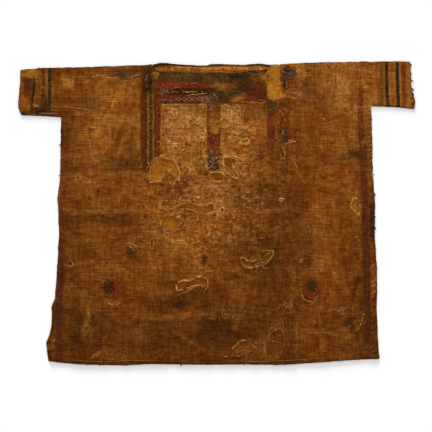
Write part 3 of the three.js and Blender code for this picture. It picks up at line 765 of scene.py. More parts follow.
# Stains and marks with an edge that can be seen.
STAINS = [
    ("slate", [(123, 73.5, 11, 4.5, 0.8, 4)]),
    ("soot", [(131, 69, 6, 4, 0.25)]),
    ("umber", [(100, 66, 24, 3, 0.4, -3)]),
    ("soot", [(146, 70, 12, 7, 0.6), (178, 305, 8.5, 4.5, 0.75)]),
    ("umber", [
        (205, 306, 7, 4, 0.6, -20), (214, 325, 12, 7, 0.55), (229, 338, 5, 10, 0.45, 8),
        (131, 254, 5, 6, 0.75), (137, 258, 8, 6, 0.35),
    ]),
    ("soot", [(152, 244, 1.8, 5, 0.85)]),
    ("umber", [
        (204, 259, 2.6, 6.5, 0.85), (104, 318, 4.5, 16, 0.55, 6), (79, 334, 4, 16, 0.5, 4),
        (72, 308, 4, 9, 0.4),
    ]),
    ("honey", [(86, 326, 4, 8, 0.5)]),
    ("soot", [(361, 156, 5.5, 7, 0.75)]),
    ("umber", [(353, 156.5, 9, 2.6, 0.75)]),
    ("soot", [(350.5, 152.5, 3.0, 2.6, 0.7)]),
    ("umber", [(372, 221, 3.4, 17, 0.55), (52, 330, 3, 34, 0.15)]),
    ("soot", [(350, 323, 6, 6, 0.6)]),
    ("umber", [(363, 307, 5, 8, 0.5)]),
    ("soot", [(367, 338, 3.4, 5, 0.6)]),
    ("plum", [(303, 86, 18, 9, 0.22)]),
    ("russet", [(325, 126, 12, 8, 0.25)]),
    ("umber", [(283, 352, 7, 10, 0.45), (357, 282, 3, 8, 0.7, 10)]),
    ("soot", [(351, 324, 5, 6, 0.55, -20)]),
    ("gold", [(275, 341, 8, 14, 0.35, 8)]),
    ("honey", [(242, 349, 12, 7, 0.35, -8), (355, 206, 3.5, 9, 0.6, -12), (195, 283, 15, 7, 0.4, -20)]),
    ("russet", [(70, 98, 9, 9, 0.55), (318, 122, 12, 10, 0.28)]),
    ("gold", [(178, 235, 12, 4, 0.3), (112, 302, 8, 3, 0.3)]),
    ("russet", [
        (190, 310, 12, 4, 0.35), (186, 322, 6, 12, 0.3), (120, 240, 20, 8, 0.25),
        (115, 200, 16, 9, 0.25),
    ]),
    ("umber", [(250, 360, 80, 3, 0.35), (110, 362, 60, 3, 0.3)]),
]

# The dyed band down each side: y, its middle x, half its width and its strength.
LEFT_BAND = [
    (108, 64.6, 3.2, 0.40),
    (170, 64.4, 3.2, 0.62),
    (220, 62.4, 3.2, 0.80),
    (270, 61.0, 3.4, 1.00),
    (310, 59.2, 3.8, 1.00),
    (350, 58.8, 3.6, 0.85),
    (364, 58.6, 3.4, 0.70),
]
RIGHT_BAND = [
    (86, 361.2, 2.2, 0.90),
    (96, 360.8, 2.6, 0.95),
    (116, 360.6, 2.9, 1.00),
    (150, 362.6, 3.4, 1.00),
    (200, 364.6, 3.2, 0.95),
    (240, 365.6, 3.4, 1.00),
    (300, 367.2, 3.4, 1.00),
    (334, 368.2, 3.2, 1.00),
    (346, 368.4, 2.6, 0.40),
    (360, 368.6, 2.6, 0.60),
]


def band(px, py, rows):
    """How strongly a dyed band that runs down the cloth shows at each point."""
    y, x, half, strength = np.array(rows).T
    middle = np.interp(py, y, x)
    width = np.interp(py, y, half)
    fade = np.interp(py, [y[0] - 3, y[0], y[-1], y[-1] + 3], [0, 1, 1, 0])
    return (1 - step(abs(px - middle), width - 0.6, width + 0.9)) * np.interp(py, y, strength) * fade


def ground(px, py, tones, seed):
    """The brown of the wool with broad tones and fine mottling, before any stain."""
    colour = patched(DYES["brown"], *bent(px, py, 4, 22, seed), tones)
    tone = (
        0.20 * rough(px, py, (17, 12), seed + 11)
        + 0.23 * noise(px, py, (7, 2.2), seed + 17)
        + 0.22 * noise(px, py, (2.2, 12), seed + 19)
        + 0.13 * noise(px - py, px + py, (5, 30), seed + 21)
        + 0.16 * noise(px, py, (3.0, 2.0), seed + 27)
        + 0.03
    )
    blotches = step(rough(px, py, (9, 5), seed + 25), 0.50, 1.4)
    colour = over(colour, "umber", 0.50 * blotches) * np.exp(np.outer(tone, DEPTHS))
    warm = noise(px, py, 11, seed + 23)
    return colour * (1 + np.outer(warm, [0.05, -0.05, -0.12]))


def stained(colour, px, py, stains, seed):
    return patched(colour, *bent(px, py, 1.6, 6, seed), stains)


WORN_MIDDLE = (204, 172, 58, 76)  # x, y, half width, half height of the frayed part


def wear(px, py):
    """How far the wool is rubbed and frayed."""
    middle = oval(px, py, *WORN_MIDDLE)
    patches = 0.5 + 0.5 * rough(px, py, 12, 71)
    return np.clip(middle * (0.35 + 1.1 * patches), 0, 1)


SEAM_LEFT, SEAM_RIGHT, SLEEVE_END = 61.1, 371.3, 116  # where the sleeves join the body


def near_seam(px, py):
    return (py < SLEEVE_END) & ((abs(px - SEAM_LEFT) < 2.5) | (abs(px - SEAM_RIGHT) < 2.5))


def pale_edge(px, py):
    """How pale the edges of the losses are: most in the worn middle."""
    low = 0.25 + 0.75 * step(py, 98, 106)
    return low * (1 - 0.8 * step(py, 290, 315)) * (1 - 0.7 * oval(px, py, 190, 219, 17, 11))


def paint_front(px, py, cloth):
    """Worn brown wool with creases painted pale on their ridges and dark in their troughs (painted highlight
    and shade, with some rubbed wear on the ridges), a dyed band down each side and frayed losses.
    """
    worn = wear(px, py)
    fluff = step(noise(px, py, (4.6, 3.0), 131) + 0.5 * noise(px, py, 1.9, 132), 0.45, 1.05)
    # Small dark spots in the worn middle: painted shade in pits of the worn wool.
    pit_shade = step(noise(px, py, (5.0, 3.0), 133) + 0.5 * noise(px, py, 2.0, 134), 0.30, 0.95)
    # The creases' rise: ridges get a painted highlight (partly rubbed wear) and troughs painted shade.
    crease_shading = crease_relief(px, py) / MM * np.clip(0.7 + 0.8 * noise(px, py, 4, 143), 0, 1.4)
    speckle = 0.75 + 0.25 * noise(px, py, (2, 5), 151)
    hole = cloth.hole_edge / PIXEL
    frayed = np.exp(-((hole / 1.3) ** 2)) * np.clip(0.35 + 1.1 * noise(px, py, 2.6, 161), 0, 1)
    # A darker ring just beyond each hole's lifted edge: painted shade beside the lip.
    shade = np.exp(-(((hole - 2.6) / 1.4) ** 2)) * np.clip(0.3 + 0.7 * noise(px, py, 5, 163), 0, 1)
    edge = cloth.edge / PIXEL
    rim = np.exp(-((edge / 1.1) ** 2)) * (hole > 1.2) * ~near_seam(px, py)
    rim = rim * (1 - 0.8 * stripe(px, 264, 300, 2) * (py < 104))
    hem = step(py, 352, 359) * np.exp(-((edge / 4.5) ** 2))
    hem = hem * np.clip(0.6 + 0.6 * noise(px, py, (7, 3), 167), 0, 1)
    colour = layered(
        ground(px, py, TONES, 101),
        ("straw", 0.48 * worn * fluff),
        # Painted shade in the pits of the worn middle, dark and reddish.
        ("umber", 0.40 * worn * pit_shade),
        ("russet", 0.30 * worn * pit_shade),
    )
    return layered(
        stained(colour, px, py, STAINS, 141),
        # Painted highlight on the crease ridges, partly rubbed wear, and painted shade in their troughs.
        ("gold", np.clip(0.42 * crease_shading, 0, 0.7)),
        ("umber", np.clip(-0.42 * crease_shading, 0, 0.6)),
        ("wine", band(px, py, LEFT_BAND) * speckle),
        ("wine", band(px, py, RIGHT_BAND) * speckle),
        ("soot", 0.35 * band(px, py, LEFT_BAND) * step(py, 230, 275)),
        ("soot", 0.40 * band(px, py, RIGHT_BAND) * step(py, 150, 240)),
        ("straw", 0.75 * frayed * pale_edge(px, py)),
        # Painted shade in a ring beside the holes' lifted edges.
        ("umber", 0.4 * shade),
        ("soot", rim * np.clip(0.5 + 0.6 * noise(px, py, 4, 165), 0.1, 0.9)),
        ("umber", 0.55 * hem),
    )


# ---- The front's own relief ----------------------------------------------------------------------

# Creases: the pixels that each runs between, half its width and its height in mm; troughs are negative.
CREASES = [
    (129, 80, 89, 150, 3.0, 1.1),
    (121, 84, 100, 122, 2.4, -0.9),
    (137, 112, 112, 168, 2.6, 0.9),
    (92, 77, 121, 80, 1.3, 1.3),
    (66, 176, 145, 172, 3.2, 0.8),
    (64, 214, 150, 209, 3.0, 1.0),
    (70, 232, 142, 228, 2.2, 0.7),
    (63, 266, 96, 262, 2.0, 0.7),
    (95, 350, 106, 330, 2.0, -0.8),
    (150, 262, 152, 236, 1.6, 1.1),
    (160, 300, 208, 272, 2.4, 1.0),
    (140, 318, 222, 314, 2.6, 0.8),
    (232, 332, 244, 300, 2.4, 0.7),
    (255, 212, 298, 206, 2.6, 0.8),
    (268, 240, 276, 292, 2.4, -0.8),
    (292, 158, 302, 182, 1.4, 1.2),
    (312, 205, 318, 262, 2.4, 0.7),
    (335, 196, 340, 250, 2.0, 0.6),
    (326, 64, 331, 71, 1.2, 1.5),
    (331, 71, 336, 65, 1.2, 1.3),
    (318, 88, 322, 130, 2.4, 0.7),
    (340, 96, 372, 92, 2.0, 0.6),
    (345, 332, 366, 312, 1.6, 1.2),
    (300, 330, 352, 338, 2.6, 0.7),
    (95, 358, 101, 353, 1.0, 1.6),
    (100, 290, 60, 296, 2.4, 0.6),
    (122, 88, 97, 132, 1.4, 1.2),
    (134, 98, 108, 150, 1.2, 1.0),
    (113, 82, 92, 112, 1.2, 0.9),
    (128, 118, 118, 160, 1.2, 0.8),
    (138, 88, 137, 128, 1.4, 1.0),
    (78, 84, 96, 79, 1.2, 1.2),
    (84, 118, 96, 148, 1.6, -0.8),
    (74, 150, 120, 156, 2.0, -0.8),
    (300, 110, 312, 150, 1.4, 0.9),
    (322, 96, 350, 92, 1.4, 1.0),
    (330, 112, 338, 152, 1.4, 0.8),
    (302, 166, 330, 182, 1.6, -0.8),
    (262, 186, 290, 176, 1.6, 0.8),
    (246, 214, 262, 246, 1.6, -0.9),
    (96, 244, 132, 238, 1.8, -0.8),
    (120, 268, 150, 286, 1.6, 0.8),
    (226, 268, 262, 282, 1.6, 0.8),
    (330, 268, 352, 296, 1.6, 0.8),
    (88, 306, 92, 344, 1.6, 0.8),
    (170, 330, 206, 352, 1.6, 0.8),
    (252, 300, 286, 296, 1.8, -0.8),
    (318, 316, 322, 350, 1.6, 0.8),
]


def crease_relief(px, py):
    """The height of the creases over the cloth, in metres."""
    total = np.zeros(len(px))
    bent_x = px + 1.5 * noise(px, py, 14, 201)
    bent_y = py + 1.5 * noise(px, py, 14, 203)
    for x0, y0, x1, y1, half, rise in CREASES:
        length = math.hypot(x1 - x0, y1 - y0)
        right, down = (x1 - x0) / length, (y1 - y0) / length
        along = ((bent_x - x0) * right + (bent_y - y0) * down) / length
        across = (bent_x - x0) * down - (bent_y - y0) * right
        ends = step(along, -0.12, 0.2) * (1 - step(along, 0.8, 1.12))
        total += rise * np.exp(-((across / half) ** 2)) * ends
    return total * MM


def front_relief(px, py):
    """Creases, soft puckers everywhere and crumpled cloth in the worn middle."""
    worn = wear(px, py)
    puckers = 0.45 * rough(px, py, 16, 211) + 0.22 * noise(px, py, (9, 3), 213)
    ridges = 1 - abs(noise(px, py, (7.5, 5), 221) + 0.5 * noise(px, py, 3.2, 223))
    crumple = 1.7 * step(ridges, 0.72, 1.0) + 0.6 * noise(px, py, 4, 225)
    return crease_relief(px, py) + (puckers + crumple * worn) * MM


# ---- The pieces ----------------------------------------------------------------------------------

SPACING, FINE_SPACING = ((6.4 * MM, 3.3 * MM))
FINE_BOX = (138, 60, 296, 262, FINE_SPACING)  # the worn middle and the tapestry
FACING_BOX = (150, 60, 286, 104, 3.4 * MM)  # where the support cloth shows at the neck

front_cloth = Cloth(
    "front_body", SPACING, FINE_BOX, ragged=(0.8, 2.6), extra=front_relief, curl=2.4 * MM, seed=11
)
front = front_cloth.piece(
    "front_panel", paint_front, "wool", "wool", flat=(1.26, 1.15), rests_on=["support_panel", "back_panel"]
)


# Where the support cloth is stained, as seen in the losses.
SUPPORT_STAINS = [
    ("brown", [(275, 338, 18, 28, 1.0)]),
    ("umber", [(275, 340, 14, 20, 0.3)]),
    ("brown", [
        (242, 350, 20, 14, 0.85), (257, 260, 24, 14, 0.85), (193, 283, 22, 12, 0.7),
        (86, 328, 12, 12, 0.4),
    ]),
    ("umber", [(70, 264, 8, 8, 0.8)]),
    ("russet", [(196, 206, 34, 9, 0.4)]),
    ("honey", [(175, 222, 16, 9, 0.3)]),
    ("russet", [(232, 168, 12, 12, 0.35), (216, 176, 12, 8, 0.3)]),
    ("brown", [(365, 318, 12, 14, 0.8)]),
    ("honey", [(357, 206, 6, 12, 0.4)]),
    ("ochre", [(218, 121, 9, 8, 0.6)]),
]


def paint_support(px, py, cloth):
    """Ochre by the neck, browner towards the hem, and streaked where it faces the neck."""
    facing = (1 - step(py, 71.5, 73.5)) * (1 - step(px, 262, 268))
    streaks = noise(px, py, (26, 1.3), 303) + 0.4 * noise(px, py, (7, 1.6), 305)
    level = py + 0.6 * noise(px, py, 9, 307)
    left = 1 - step(px, 165, 180)
    colour = layered(
        "ochre",
        ("honey", step(py, 110, 170)),
        ("amber", 0.50 * oval(px, py, 161, 166, 16, 14)),
        ("ochre", 0.30 * oval(px, py, 161, 166, 16, 14)),
        ("brown", 0.55 * step(py, 225, 270)),
    )
    colour = layered(
        patched(colour, px, py, SUPPORT_STAINS),
        ("umber", 0.45 * facing * step(streaks, 0.1, 0.8)),
        ("gold", 0.40 * facing),
        ("amber", 0.5 * facing * stripe(level, 64.5, 67.4)),
        ("straw", 0.5 * facing * stripe(level, 67.6, 69.6) * step(px, 163, 180)),
        ("soot", 0.5 * facing * left * stripe(level, 62, 67.6)),
    )
    worn = 0.20 * rough(px, py, 9, 301) + 0.16 * noise(px, py, (2.6, 4), 309)
    return colour * np.exp(np.outer(worn, DEPTHS))


support_cloth = Cloth("support_cloth", 9 * MM, FACING_BOX, ragged=(0.3, 0.5), seed=21)
support = support_cloth.piece(
    "support_panel", paint_support, "support", "support", flat=(1.25, 1.14), rests_on=["back_panel"]
)


def paint_back(px, py, cloth):
    """The front's brown wool and side bands, unworn."""
    return layered(
        ground(px, py, TONES, 401),
        ("wine", 0.8 * band(px, py, LEFT_BAND)),
        ("wine", 0.8 * band(px, py, RIGHT_BAND)),
    )


back_cloth = Cloth("back_body", 12 * MM, ragged=(0.5, 0.5), seed=31)
back_cloth.piece("back_panel", paint_back, "wool", "wool", flat=(1.25, 1.15), rests_on=[])

# ---- Tapestry ------------------------------------------------------------------------------------


def faded(colour, px, py, cloth, seed, rubbed=0.45):
    """A tapestry's colours, unevenly rubbed and worn away along its edges."""
    fine = 0.22 * noise(px, py, (2.6, 1.1), seed + 4) + 0.20 * noise(px, py, (1.2, 1.6), seed + 5)
    colour = colour * np.exp(np.outer(0.20 * rough(px, py, 7, seed) + fine, DEPTHS))
    bare = step(rough(px, py, 3.2, seed + 7), 0.30, 1.15)
    colour = over(colour, "brown", rubbed * bare)
    edge = cloth.edge / PIXEL
    worn = np.exp(-((edge / 1.3) ** 2)) * step(noise(px, py, 2.6, seed + 9), -0.5, 0.5)
    pale = step(noise(px, py, (1.5, 1.1), seed + 15) + 0.4 * noise(px, py, 5, seed + 16), 0.62, 1.0)
    colour = over(colour, "gold", 0.38 * pale)
    return over(colour, "brown", 0.85 * worn)


def checks(px, py, x, y, width, height):
    """A waving chequer, from -1 in its dark places to 1 in its light ones, round a pixel."""
    bend = 0.9 * noise(px, py, 4, 499)
    across, down = (px - x) / width, (py - y) / height
    along_x, along_y = (across + 0.3 * bend) * 2 * math.pi, (down - 0.3 * bend) * 2 * math.pi
    return np.cos(along_x) * np.cos(along_y) + 0.5 * bend


# Worn and patched places of the yoke.
YOKE_PATCHES = [
    ("rose", [(163, 85, 13, 3.4, 0.6), (171, 85, 8, 2.4, 0.35)]),
    ("madder", [(190, 85.5, 16, 2.6, 0.3)]),
    ("umber", [(154, 69.5, 5, 2.4, 0.7)]),
    ("gold", [(155, 75, 4, 2.2, 0.5)]),
    ("slate", [(199, 79, 9, 2.2, 0.75)]),
    ("gold", [(207, 78, 4, 2.2, 0.35)]),
    ("leaf", [(182, 77.5, 10, 2.4, 0.45)]),
    ("russet", [(228, 83, 13, 2.4, 0.75, -10)]),
    ("gold", [(221, 85.5, 7, 2.6, 0.62, -8), (231, 85, 6, 2.0, 0.45, 10)]),
    ("soot", [(223, 75, 22, 3.0, 0.55), (243, 77.5, 12, 4.0, 0.6)]),
    ("umber", [(245, 86, 11, 5.0, 0.6)]),
    ("ochre", [(260, 78, 7, 3.0, 0.8, -8)]),
    ("wine", [(261, 89, 9, 9.0, 0.85)]),
    ("madder", [(259, 85, 5, 4.0, 0.45)]),
    ("bottle", [(226, 97, 8, 4.4, 0.85)]),
    ("soot", [(226, 99, 6, 2.6, 0.5)]),
    ("bottle", [(214, 99, 5.5, 6.0, 0.8)]),
    ("gold", [(239, 97.5, 8, 3.4, 0.85, -22)]),
    ("ochre", [(241, 96.5, 4, 1.8, 0.6, -22)]),
    ("madder", [(250, 99, 9, 3.2, 0.6)]),
    ("plum", [(261, 101.5, 4, 1.6, 0.8)]),
    ("wine", [(249, 93.5, 14, 3.2, 0.6)]),
]
# The yoke's running wave: where it starts and ends, its period, its middle and its swing, in pixels.
WAVE_LEFT, WAVE_RIGHT, WAVE_PERIOD, WAVE_Y, WAVE_SWING = 160.5, 210, 5.25, 99.4, 1.5


def wave(px):
    """0 where the running wave's two lines cross and 1 at the middle of each eye."""
    return 0.5 - 0.5 * np.cos((px - WAVE_LEFT) * 2 * math.pi / WAVE_PERIOD)


def paint_yoke(px, py, cloth):
    """Bands along the neck: bottle green, madder, brown with pale threads, then the running wave."""
    level = py + 0.45 * noise(px, py, 7, 501)
    eyes = np.exp(-(((py - WAVE_Y) / (1.1 * wave(px) + 0.2)) ** 2)) * stripe(px, WAVE_LEFT, WAVE_RIGHT)
    corner = 1 - step(px, 153.5, 158.5)
    right = step(px + 3 * noise(px, py, 6, 503), 207, 214)
    colour = layered(
        "bottle",
        ("soot", 0.7 * (1 - step(level, 72.0, 74.5))),
        ("leaf", 0.5 * step(noise(px, py, (6, 2), 502), 0.1, 0.9) * stripe(level, 73, 82)),
        ("madder", 0.95 * stripe(level, 82.0, 88.4)),
        ("umber", 0.85 * stripe(level, 88.4, 95.0)),
        ("wine", stripe(level, 95.2, 104.5)),
        ("madder", 0.6 * stripe(level, 94.6, 97.4)),
        ("rose", 0.25 * stripe(level, 97.0, 102.4) * stripe(px, WAVE_LEFT, WAVE_RIGHT)),
        ("soot", 0.75 * eyes * wave(px)),
        ("soot", 0.85 * stripe(level, 102.4, 104.6, 0.4)),
        ("soot", 0.6 * corner * (level < 93)),
        ("madder", 0.6 * corner * step(level, 93, 95)),
        ("bottle", 0.85 * right * stripe(level, 80, 96)),
    )
    colour = stained(colour, px, py, YOKE_PATCHES, 505)
    return faded(colour, px, py, cloth, 507, rubbed=0.35)


def paint_clavus_left(px, py, cloth):
    """The left shoulder band: wine, two pale lines with a dotted green stripe between, and madder."""
    across = px + 0.35 * noise(px, py, 9, 521)
    dots = np.cos(py * 2 * math.pi / 3.8 + noise(px, py, 5, 522)) > 0.3
    top = 1 - step(py + 3 * noise(px, py, 5, 523), 88, 98)
    line = stripe(across, 145.4, 147.4, 0.4) * step(noise(px, py, (2, 1.3), 524), -0.3, 0.3)
    colour = layered(
        "wine",
        ("russet", 0.55 * step(noise(px, py, (2, 6), 520), -0.1, 0.8) * (1 - step(across, 144, 147))),
        ("umber", stripe(across, 146.2, 155.4, 0.5)),
        ("leaf", 0.85 * stripe(across, 147.0, 154.8, 0.5)),
        ("soot", 0.85 * stripe(across, 149.6, 151.8, 0.5)),
        ("leaf", 0.7 * dots * stripe(across, 149.8, 151.6, 0.3)),
        ("gold", 0.7 * stripe(across, 147.4, 148.4, 0.5)),
        ("gold", 0.7 * stripe(across, 152.8, 153.8, 0.5)),
        ("madder", stripe(across, 155.6, 161.5)),
        ("wine", 0.6 * stripe(across, 158.4, 161.5)),
        ("umber", 0.8 * top),
        ("wine", 0.8 * top * (1 - step(across, 144, 146))),
        ("ash", 0.30 * line * (1 - step(py, 84, 90))),
        ("soot", 0.75 * stripe(across, 144.5, 153, 1) * (1 - step(py, 84, 94))),
        ("soot", 0.6 * (1 - step(py, 69, 75))),
        ("brown", 0.8 * step(py, 156, 168) * stripe(across, 147, 162)),
        ("umber", 0.3 * step(py, 150, 160)),
    )
    return faded(colour, px, py, cloth, 525, rubbed=0.55)


def paint_centre_strip(px, py, cloth):
    """Blocks one over the other between red side lines: grey, red with dots, madder, scrolled plum."""
    level = py + 0.5 * noise(px, py, 4, 541)
    flecks = step(checks(px, py, 209, 113, 3.4, 3.0), 0.3, 0.8)
    scroll = checks(px, py, 213.4, 158, 5.2, 5.6)
    dark = stripe(level, 154, 171)
    colour = layered(
        "brown",
        ("bottle", 0.9 * (1 - step(level, 105, 108))),
        ("madder", 0.6 * stripe(level, 107, 122) * (1 - step(px, 212, 214))),
        ("leaf", 0.8 * stripe(level, 107, 115) * step(px, 212, 213)),
        ("blush", 0.65 * flecks * stripe(level, 106, 121) * (1 - step(px, 212, 213.5))),
        ("wine", 0.95 * oval(px, py, 220.6, 110.5, 2.6, 7.5) * (1 - oval(px, py, 220.4, 110.5, 0.9, 5))),
        ("gold", 0.4 * oval(px, py, 214, 122, 7, 8)),
        ("madder", 0.75 * stripe(level, 134, 150.5)),
        ("umber", 0.40 * oval(px, py, 216.4, 140, 3.6, 7)),
        ("wine", 0.6 * oval(px, py, 211, 145, 4, 7)),
        ("umber", 0.95 * stripe(level, 153.5, 172)),
        ("bottle", 0.8 * dark * step(-scroll, 0.0, 0.5)),
        ("ash", 0.45 * dark * step(scroll, 0.25, 0.7)),
        ("plum", 0.9 * oval(px, py, 214.4, 167, 3.8, 4.2)),
    )
    for side in (207.8, 219.8):
        colour = over(colour, "wine", 0.9 * stripe(px, side - 0.8, side + 0.8, 0.4) * (level < 152))
    return faded(colour, px, py, cloth, 543, rubbed=0.55)


def paint_clavus_right(px, py, cloth):
    """The right shoulder band: a dark and red stripe beside a vine of pale loops."""
    fade = 1 - step(py + 4 * noise(px, py, 8, 561), 136, 148)
    level = py + 0.6 * noise(px, py, 4, 562)
    edge = 274.6 + 0.5 * noise(px, py, 3, 560)
    red = (1 - step(px, edge - 0.9, edge + 0.9)) * step(px + noise(px, py, 4, 566), 266, 268.4)
    beads = np.cos(py * 2 * math.pi / 2.7) + 1.2 * noise(px, py, (2, 1.5), 563) > 0.2
    vine = noise(px, py, (2.3, 3.0), 567) + 0.5 * noise(px, py, 1.4, 568)
    field = stripe(px, 279.4, 288) * stripe(level, 108, 160)
    loops = step(checks(px, py, 283, 151, 4.2, 8), 0.2, 0.7)
    colour = layered(
        "brown",
        ("umber", 0.25 + 0 * px),
        ("madder", 0.62 * red * np.clip(fade + 0.1, 0, 1)),
        ("wine", 0.60 * step(noise(px, py, 3, 564), -0.3, 0.6) * red * (0.2 + 0.8 * fade)),
        ("wine", 0.70 * stripe(px, 271.2, 272.8) * stripe(py, 140, 158)),
        ("bottle", 0.85 * (1 - step(level, 110.5, 113.5)) * (1 - step(px, 274.6, 276.5))),
        ("gold", 0.8 * beads * stripe(px, 275.0, 276.8, 0.4) * stripe(level, 109, 138)),
        ("honey", 0.75 * stripe(px, 276.8, 279.6, 0.5) * stripe(level, 112, 136)),
        ("umber", 0.7 * ~beads * stripe(px, 277.4, 278.8, 0.4) * stripe(level, 112, 136)),
        ("russet", 0.6 * stripe(px, 279.6, 287.4) * stripe(level, 108, 130)),
        ("wine", 0.8 * oval(px, py, 283, 105.5, 5, 5.5)),
        ("gold", 0.25 * stripe(px, 275, 288) * step(noise(px, py, 2, 569), 0, 0.6)),
        ("gold", 0.75 * step(vine, 0.25, 0.8) * field),
        ("straw", 0.45 * step(vine, 0.50, 0.9) * field),
        ("umber", 0.60 * step(-vine, 0.25, 0.8) * field),
    )
    for x, y in ((284.6, 113.6), (281.6, 123), (285.4, 123.4)):
        colour = over(colour, "madder", 0.9 * (1 - step(np.hypot(px - x, (py - y) / 1.2), 0.8, 1.8)))
    colour = layered(
        colour,
        ("plum", 1.1 * oval(px, py, 283.4, 132.4, 4.4, 5.6)),
        ("blush", 0.45 * oval(px, py, 283, 132, 1.2, 2.2)),
        ("soot", 0.9 * oval(px, py, 287, 141, 4.2, 3.0)),
        ("gold", 0.45 * loops * stripe(px, 279.5, 288) * stripe(level, 143, 160)),
    )
    return faded(colour, px, py, cloth, 565, rubbed=0.6)


def paint_shoulder_ornament(px, py, cloth):
    """A flecked dark roundel over a short dark strip."""
    blob = np.maximum(oval(px, py, 288.8, 73.6, 6.6, 6.8), oval(px, py, 288, 66, 2.4, 3.8))
    flecks = step(checks(px, py, 290, 73, 3.6, 3.4), 0.35, 0.85)
    colour = layered(
        "brown",
        ("ochre", 0.6 * (py < 80) * (1 - step(px, 281.5, 284))),
        ("gold", 0.45 * (py < 80) + 0.2 * oval(px, py, 283.5, 67, 2.5, 5)),
        ("umber", 0.35 * step(py, 76, 80)),
        ("plum", 1.2 * blob),
        ("soot", 0.35 * blob),
        ("blush", 0.42 * flecks * blob),
        ("ash", 0.12 * oval(px, py, 291, 78, 2.2, 1.8)),
        ("soot", 1.2 * oval(px, py, 284.2, 85, 2.4, 6.5)),
        ("ash", 0.35 * oval(px, py, 286.6, 85, 0.9, 4)),
    )
    return faded(colour, px, py, cloth, 581, rubbed=0.5)


# Each roundel: its middle, its radius, and its dark heart's middle and radius, in pixels.
ROUNDELS = [(113, 288.5, 10, 108.4, 287.0, 8.4), (311.3, 287.5, 10, 311.6, 286.6, 7.6)]


def paint_roundels(px, py, cloth):
    """Lobed roundels: dark at the left and red at the right, and red round a dark heart."""
    colour = np.tile(DYES["madder"], (len(px), 1))
    for x, y, radius, dark_x, dark_y, dark in ROUNDELS:
        right, down = px - x, py - y
        away = np.hypot(right, down)
        near = (away < 1.6 * radius).astype(float)
        lobes = 0.5 + 0.5 * np.cos(8 * np.arctan2(down, right) + 0.8)
        ring = stripe(away, 0.62 * radius, 0.84 * radius, 0.8)
        from_heart = np.hypot(px - dark_x, py - dark_y) + noise(px, py, 3, 585)
        heart = near * (1 - step(from_heart, 0.6 * dark, dark))
        leaf = checks(px, py, dark_x, dark_y, 4.6, 4.6) > 0.35
        colour = layered(
            colour,
            ("rose", 0.65 * near * ring * (1 - lobes)),
            ("wine", 0.9 * near * ring * lobes),
            ("brown", 0.6 * near * step(away, 0.80 * radius, radius)),
            ("soot", 0.85 * heart),
            ("leaf", 0.40 * heart * leaf),
            ("russet", 0.35 * near * (1 - heart)),
        )
    return faded(colour, px, py, cloth, 583, rubbed=0.4)


# Each tapestry piece: its CAD node, how it is painted, its slot and its flat width and length in metres.
TAPESTRIES = [
    ("yoke", paint_yoke, "dark_wool", (0.428, 0.130)),
    ("clavus_left", paint_clavus_left, "madder_wool", (0.079, 0.389)),
    ("centre_strip", paint_centre_strip, "madder_wool", (0.053, 0.254)),
    ("clavus_right", paint_clavus_right, "madder_wool", (0.084, 0.222)),
    ("shoulder_ornament", paint_shoulder_ornament, "dark_wool", (0.061, 0.088)),
    ("roundel_left", paint_roundels, "madder_wool", (0.079, 0.079)),
    ("roundel_right", paint_roundels, "madder_wool", (0.071, 0.087)),
]
TAPESTRY_SPACING = 2.4 * MM

tops = [support, front]  # the pieces that loose yarns lie on
for number, (node, paint, slot, flat) in enumerate(TAPESTRIES):
    tapestry = Cloth(
        node, TAPESTRY_SPACING, ragged=(1.6, 1.4), extra=front_relief, calm=False, seed=50 + number
    )
    tops.append(tapestry.piece(node + "_weave", paint, "tapestry", slot, flat, ["front_panel"]))


# ---- Sleeves, neck and back ----------------------------------------------------------------------

